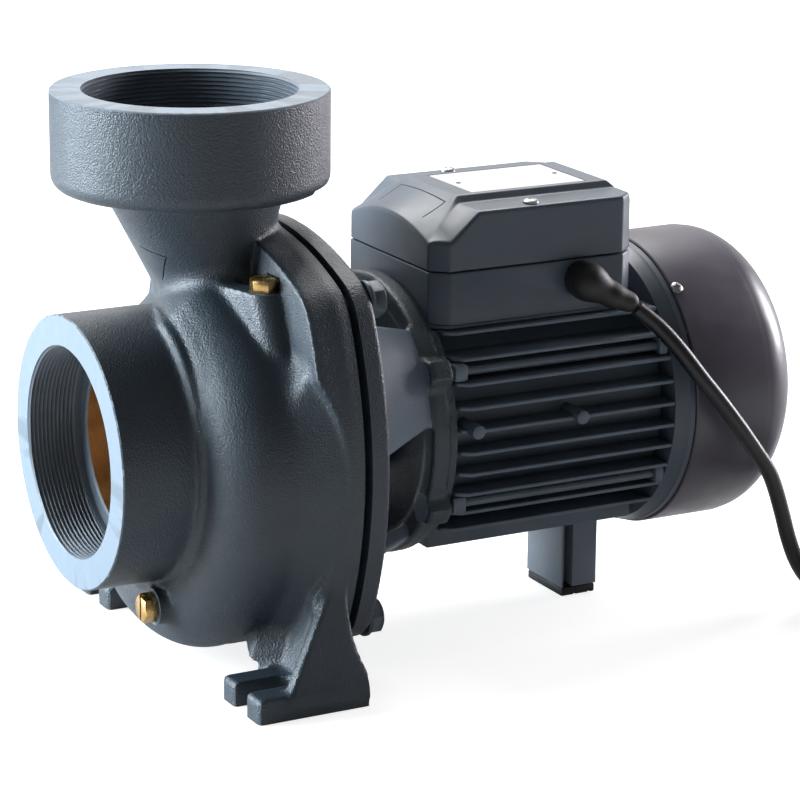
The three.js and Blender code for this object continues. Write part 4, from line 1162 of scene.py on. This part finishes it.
def box_inside():
    terminal = block("terminal_block_visual", 148, 196, -40, -12, 187, 200)
    bevel(terminal, 0.8)
    rooms = [block("cut", x - 0.8, x + 0.8, -45, -8, 194, 205) for x in (156, 166, 176, 186)]
    rooms += [post("cut", x, y, 195, 204, 2.2, 24) for x in (152, 161, 171, 181, 191)
              for y in (-34, -18)]
    cut(terminal, *rooms)
    done(terminal, NYLON, "terminal_block")
    can = lathe("run_capacitor_visual", [
        (150, 0), (150, 18.5), (151.5, 20), (152, 19.4), (153, 20), (243, 20), (244, 19.2),
        (245, 18.5), (245, 0)], 96, 12, 208.5)
    done(can, DARK_STEEL, "run_capacitor")


def cable_boot():
    """Flange, bulb and a tapered sleeve that ends just before the cord's free start."""
    x, z = GLAND
    ball = Vector((x + 0.4, -61.5, z - 0.4))
    exit_at = Vector(CORD_EXIT)
    out = (Vector(CORD_DOWN[1]) - exit_at).normalized()
    tip = exit_at - out * 0.3
    neck = ball.lerp(tip, 0.5)

    def field(px, py, pz):
        bulb = np.sqrt((px - ball.x) ** 2 + ((py - ball.y) * 1.05) ** 2 + (pz - ball.z) ** 2) - 10.3
        sleeve = cone_between(px, py, pz, ball, neck, 9.2, 6.9)
        end = cone_between(px, py, pz, neck, tip - out * 5.6, 6.9, 5.7)
        round_gland = np.sqrt((px - x) ** 2 + (pz - z) ** 2)
        flange = corner([round_gland - 10.2, slab(py, -58, -BOX_HALF - 0.3)], 0.8)
        collar = corner([round_gland - 7.2, slab(py, -57, -47)], 0.5)
        body = smooth_union(smooth_union(bulb, sleeve, 4), end, 2)
        return smooth_union(np.minimum(body, collar), flange, 2)
    piece = from_field("cable_boot_visual", field, (212, -84, 168), (266, -45, 212), 0.7)
    done(piece, RUBBER, "cable_boot")


box_base()
box_cover()
box_details()
box_inside()
cable_boot()


# ---- support foot ----
SUPPORT_X = (239.2, 262.2)
SUPPORT_HALF = 19.5


def motor_foot():
    x0, x1 = SUPPORT_X
    half = SUPPORT_HALF
    outline = [(x0, -half), (x0 + 1.3, -half), (x0 + 1.9, -half + 9), (x0 + 7, -half + 9),
               (x0 + 7, -half), (x1, -half), (x1, half), (x0 + 7, half), (x0 + 7, half - 9),
               (x0 + 1.9, half - 9), (x0 + 1.3, half), (x0, half)]
    piece = prism("motor_foot_visual", outline, "z", 5.3, 50.2)
    bevel(piece, 0.6, 2, 30)
    cut(piece, post("cut", FOOT_SCREW_X, 0, 0, 60, 3.4),
        post("cut", FOOT_SCREW_X, 0, 0, 12, 6.5))
    done(piece, FOOT, "motor_foot")
    pad = block("foot_pad_visual", x0 + 0.5, x1 - 0.5, 0.5 - half, half - 0.5, 0, 5)
    bevel(pad, 0.9, 2, 40)
    notches = [block("cut", x - 1, x + 1, side * half - 2.5, side * half + 2.5, -1, 1.6)
               for x in (x0 + 9.5, x0 + 19) for side in (-1, 1)]
    cut(pad, *notches, post("cut", FOOT_SCREW_X, 0, 2, 8, 6.4))
    done(pad, RUBBER, "foot_pad")
    screw = post("foot_screw_visual", FOOT_SCREW_X, 0, 6, 11.7, 6, 6, 0.4)
    crown = upright("cut", FOOT_SCREW_X, 0, [(5.9, 5), (6.9, 6.1), (6.9, 12), (5.9, 12)], 48)
    cut(screw, crown)
    bevel(screw, 0.3, 2, 40)
    join(screw, post("shank", FOOT_SCREW_X, 0, 10, 56, 3, 32))
    done(screw, ZINC, "foot_screw")


motor_foot()


# ---- shaft, impeller and the other inner pieces ----
BLADES = 6
SLOTS = 24


def blade_line(count=14):
    """Points of one backward-curved blade's mean line, in the plane across the shaft."""
    start, middle, end = Vector((26, 0)), Vector((50.5, 2)), Vector((61.5, 26))
    line = []
    for i in range(count + 1):
        t = i / count
        line.append(start * (1 - t) ** 2 + middle * 2 * t * (1 - t) + end * t ** 2)
    return line


def impeller():
    piece = lathe("impeller_visual", [
        (22.3, 8.3), (57.7, 8.3), (57.7, 14), (52, 16), (52, 67.5), (51.5, 68), (48.5, 68),
        (48, 67.5), (46.6, 50), (44, 30), (40, 19), (32, 14), (23, 12.5), (22.3, 12)], 128)
    shroud = lathe("shroud", [
        (1.5, 40.2), (1.5, 43), (2.2, 43.6), (16, 43.6), (19, 48), (22, 58), (23.6, 68),
        (27, 68), (25.5, 58), (22.5, 48), (18.5, 42), (13, 39.5), (2.5, 39.5)], 128)
    between = lathe("between", [(14.2, 0), (14.2, 41), (18.8, 43), (21, 48), (24, 58),
                                (25, 67.6), (50, 67.6), (50, 0)], 128)
    line = blade_line()
    left, right = [], []
    for i, point in enumerate(line):
        ahead = line[min(i + 1, len(line) - 1)] - line[max(i - 1, 0)]
        side = Vector((-ahead.y, ahead.x)).normalized() * 1.9
        left.append(point + side)
        right.append(point - side)
    outline = [(p.x, p.y + SHAFT_Z) for p in [*left, *reversed(right)]]
    blades = []
    for i in range(BLADES):
        blade = prism("blade", outline, "x", 13, 49)
        bevel(blade, 0.6, 2, 50)
        blades.append(turned(blade, 360 * i / BLADES))
    for blade in blades:
        combine(blade, [copied(between)], "INTERSECT")
    bpy.data.objects.remove(between)
    join(piece, shroud, *blades)
    done(piece, CAST_BRASS, "impeller", "rotor")


def copied(piece):
    twin = piece.copy()
    twin.data = piece.data.copy()
    bpy.context.scene.collection.objects.link(twin)
    return twin


def shaft_pieces():
    shaft = lathe("shaft_visual", [
        (8, 0), (8, 6.4), (8.6, 7), (22, 7), (22, 8), (57.4, 8), (58, 8.6), (58, 10),
        (121.4, 10), (122, 10.6), (122, 12.2), (146, 12.2), (146, 13.4), (146.6, 14),
        (261.4, 14), (262, 13.4), (262, 8.2), (311.4, 8.2), (312, 7.6), (312, 0)], 96)
    cut(shaft, block("cut", 27.7, 46.3, -2.8, 2.8, SHAFT_Z + 4.7, SHAFT_Z + 12))
    done(shaft, STEEL, "shaft", "rotor")
    key = block("impeller_key_visual", 28, 46, -2.5, 2.5, SHAFT_Z + 5, SHAFT_Z + 8.2)
    bevel(key, 0.4)
    done(key, STEEL, "impeller_key", "rotor")
    plain_turned("impeller_washer", STEEL, [
        (19.8, 7.3), (19.8, 12.6), (20.2, 13), (21.6, 13), (22, 12.6), (22, 7.3)], body="rotor")
    nut = rod("impeller_nut_visual", 10, 19.5, 0, SHAFT_Z, 12.1, 6, 0.3)
    crown = lathe("cut", [(9.9, 10.6), (11, 12.2), (11, 20), (9.9, 20)], 64)
    bore = lathe("cut", [(5, 0), (5, 7.3), (25, 7.3), (25, 0)], 64)
    cut(nut, crown, bore)
    bevel(nut, 0.3, 2, 40)
    done(nut, STEEL, "impeller_nut", "rotor")
    plain_turned("seal_rotary", DARK_STEEL, [
        (58.3, 10.3), (58.3, 17), (58.8, 17.5), (60, 17.5), (61, 16.4), (62, 15.5), (63, 16.3),
        (64, 15.5), (65, 16.3), (66, 15.5), (68.5, 15.5), (68.5, 10.3)], body="rotor")
    plain_turned("slinger_ring", RUBBER, [
        (98, 10.3), (98, 14), (98.6, 18), (99, 24), (100, 24.5), (101, 24), (101.6, 18),
        (103, 14), (103, 10.3)], body="rotor")
    clip = lathe("fan_clip_visual", [(306.4, 8.5), (306.4, 11.2), (306.6, 11.4), (307.4, 11.4),
                                     (307.6, 11.2), (307.6, 8.5)])
    cut(clip, block("cut", 305, 309, -1.5, 1.5, SHAFT_Z + 5, SHAFT_Z + 14))
    done(clip, STEEL, "fan_clip", "rotor")
    plain_turned("seal_seat", CERAMIC, [
        (68.9, 11), (68.9, 16.6), (69.3, 17), (72.7, 17), (72.7, 11)])
    plain_turned("wave_washer", STEEL, [
        (280.3, 15), (280.3, 19.6), (281.2, 19.6), (281.2, 15)])
    plain_turned("rotor_core", STEEL, [
        (155, 14.3), (155, 24), (158, 31), (165, 31), (165, 32.6), (165.4, 33), (244.6, 33),
        (245, 32.6), (245, 31), (252, 31), (255, 24), (255, 14.3)], 128, body="rotor")


def slot_outline(index, r0, r1, half):
    a = 2 * math.pi * (index + 0.5) / SLOTS
    return [(r * math.cos(a) - w * math.sin(a), SHAFT_Z + r * math.sin(a) + w * math.cos(a))
            for r, w in ((r0, -half), (r1, -half), (r1, half), (r0, half))]


def stator():
    core = lathe("stator_core_visual", [(165, 33.6), (165, 59.5), (165.2, 59.7), (244.8, 59.7),
                                        (245, 59.5), (245, 33.6)], 160)
    cut(core, *[prism("cut", slot_outline(i, 37, 50.5, 2.9), "x", 160, 250)
                for i in range(SLOTS)])
    done(core, DARK_STEEL, "stator_core")
    bars = [prism("bar", slot_outline(i, 38, 50, 2.4), "x", 160, 250) for i in range(SLOTS)]
    ends = [lathe("ends", [(x0, 42), (x0, 50), (x0 + 3, 53), (x1 - 3, 53), (x1, 51), (x1, 37.5),
                           (x0 + 4, 37.5)], 96) for x0, x1 in ((149, 164.6), (245.4, 261))]
    join(ends[0], ends[1], *bars)
    done(ends[0], COPPER, "stator_winding")


def bearing(name, cage_body, x0, x1, bore, inner_r, outer_r, outside, balls):
    """Two rings, and a cage of balls between them that turns as a body of its own."""
    middle = (x0 + x1) / 2
    path_r = (inner_r + outer_r) / 2
    ball_r = (outer_r - inner_r) / 2 - 0.2
    plain_turned(f"{name}_inner_ring", STEEL, [
        (x0, bore + 0.4), (x0, inner_r), (x1, inner_r), (x1, bore + 0.4), (x1 - 0.4, bore),
        (x0 + 0.4, bore)], body="rotor")
    plain_turned(f"{name}_outer_ring", STEEL, [
        (x0, outer_r), (x0, outside - 0.4), (x0 + 0.4, outside), (x1 - 0.4, outside),
        (x1, outside - 0.4), (x1, outer_r)], 128)
    cage = lathe(f"{name}_ball_cage_visual", [
        (middle - 1.2, path_r - 1), (middle - 1.2, path_r + 1), (middle + 1.2, path_r + 1),
        (middle + 1.2, path_r - 1)])
    arc = np.linspace(0, math.pi, 17)
    spheres = []
    for i in range(balls):
        a = 2 * math.pi * i / balls
        y, z = path_r * math.sin(a), SHAFT_Z + path_r * math.cos(a)
        spheres.append(lathe("ball", [(middle - ball_r * math.cos(b), ball_r * math.sin(b))
                                      for b in arc], 24, y, z))
    join(cage, *spheres)
    done(cage, STEEL, f"{name}_ball_cage", cage_body)


impeller()
shaft_pieces()
stator()
bearing("front_bearing", "front_cage", 126.3, 141, 12.5, 16.4, 22.6, 26, 8)
bearing("rear_bearing", "rear_cage", 268, 280, 8.5, 11.9, 17.2, 20, 7)


# ---- floor and light ----
def seen_by_camera(tree, otherwise, seen):
    """One value for camera rays and another for the rest."""
    rays = tree.nodes.new("ShaderNodeLightPath")
    value = tree.nodes.new("ShaderNodeMapRange")
    value.inputs["To Min"].default_value = otherwise
    value.inputs["To Max"].default_value = seen
    tree.links.new(rays.outputs["Is Camera Ray"], value.inputs["Value"])
    return value.outputs["Result"]


def make_stage():
    """A white floor that glows faintly, so that only soft contact shadows show on it."""
    floor = block("floor", -4500, 4500, -4500, 4500, -20, -0.3)
    floor.data.transform(TO_ROW)
    material = bpy.data.materials.new("floor")
    material.use_nodes = True
    tree = material.node_tree
    shader = tree.nodes["Principled BSDF"]
    shader.inputs["Base Color"].default_value = (0.45, 0.45, 0.45, 1)
    shader.inputs["Roughness"].default_value = 0.8
    shader.inputs["Emission Color"].default_value = (1, 1, 1, 1)
    tree.links.new(seen_by_camera(tree, 0.12, 0.8), shader.inputs["Emission Strength"])
    floor.data.materials.append(material)


def area_light(name, at, look_at, size, watts, color):
    data = bpy.data.lights.new(name, "AREA")
    data.shape = "RECTANGLE"
    data.size, data.size_y = size
    data.energy = watts
    data.color = color
    light = bpy.data.objects.new(name, data)
    bpy.context.scene.collection.objects.link(light)
    light.location = at
    light.rotation_mode = "QUATERNION"
    light.rotation_quaternion = (Vector(look_at) - Vector(at)).to_track_quat("-Z", "Y")


def make_world():
    """Dim in front and bright behind the pump. The camera sees it as plain white."""
    world = bpy.data.worlds.new("studio")
    world.use_nodes = True
    tree = world.node_tree
    place = tree.nodes.new("ShaderNodeTexCoord")
    facing = tree.nodes.new("ShaderNodeVectorMath")
    facing.operation = "DOT_PRODUCT"
    facing.inputs[1].default_value = (0.3, 0.95, 0)
    tree.links.new(place.outputs["Generated"], facing.inputs[0])
    glow = tree.nodes.new("ShaderNodeMapRange")
    for key, number in (("From Min", 0.25), ("From Max", 0.85), ("To Min", 0.12), ("To Max", 1)):
        glow.inputs[key].default_value = number
    tree.links.new(facing.outputs["Value"], glow.inputs["Value"])
    background = tree.nodes["Background"]
    background.inputs["Color"].default_value = (1, 1, 1, 1)
    strength = seen_by_camera(tree, 0, 1)
    tree.links.new(glow.outputs["Result"], strength.node.inputs["To Min"])
    tree.links.new(strength, background.inputs["Strength"])
    bpy.context.scene.world = world
    bpy.context.scene.view_settings.view_transform = "Standard"


def make_lights():
    middle = (0, 0, 0.14)
    area_light("left", (-1.85, 0.92, 0.62), middle, (1.2, 1.4), 135, (0.78, 0.90, 1.0))
    area_light("right", (2.0, 0.1, 0.6), middle, (0.6, 0.9), 44, (0.97, 0.93, 1.0))
    area_light("back", (0.2, 1.3, 1.9), middle, (2.2, 1.2), 70, (1, 1, 1))


make_stage()
make_world()
make_lights()
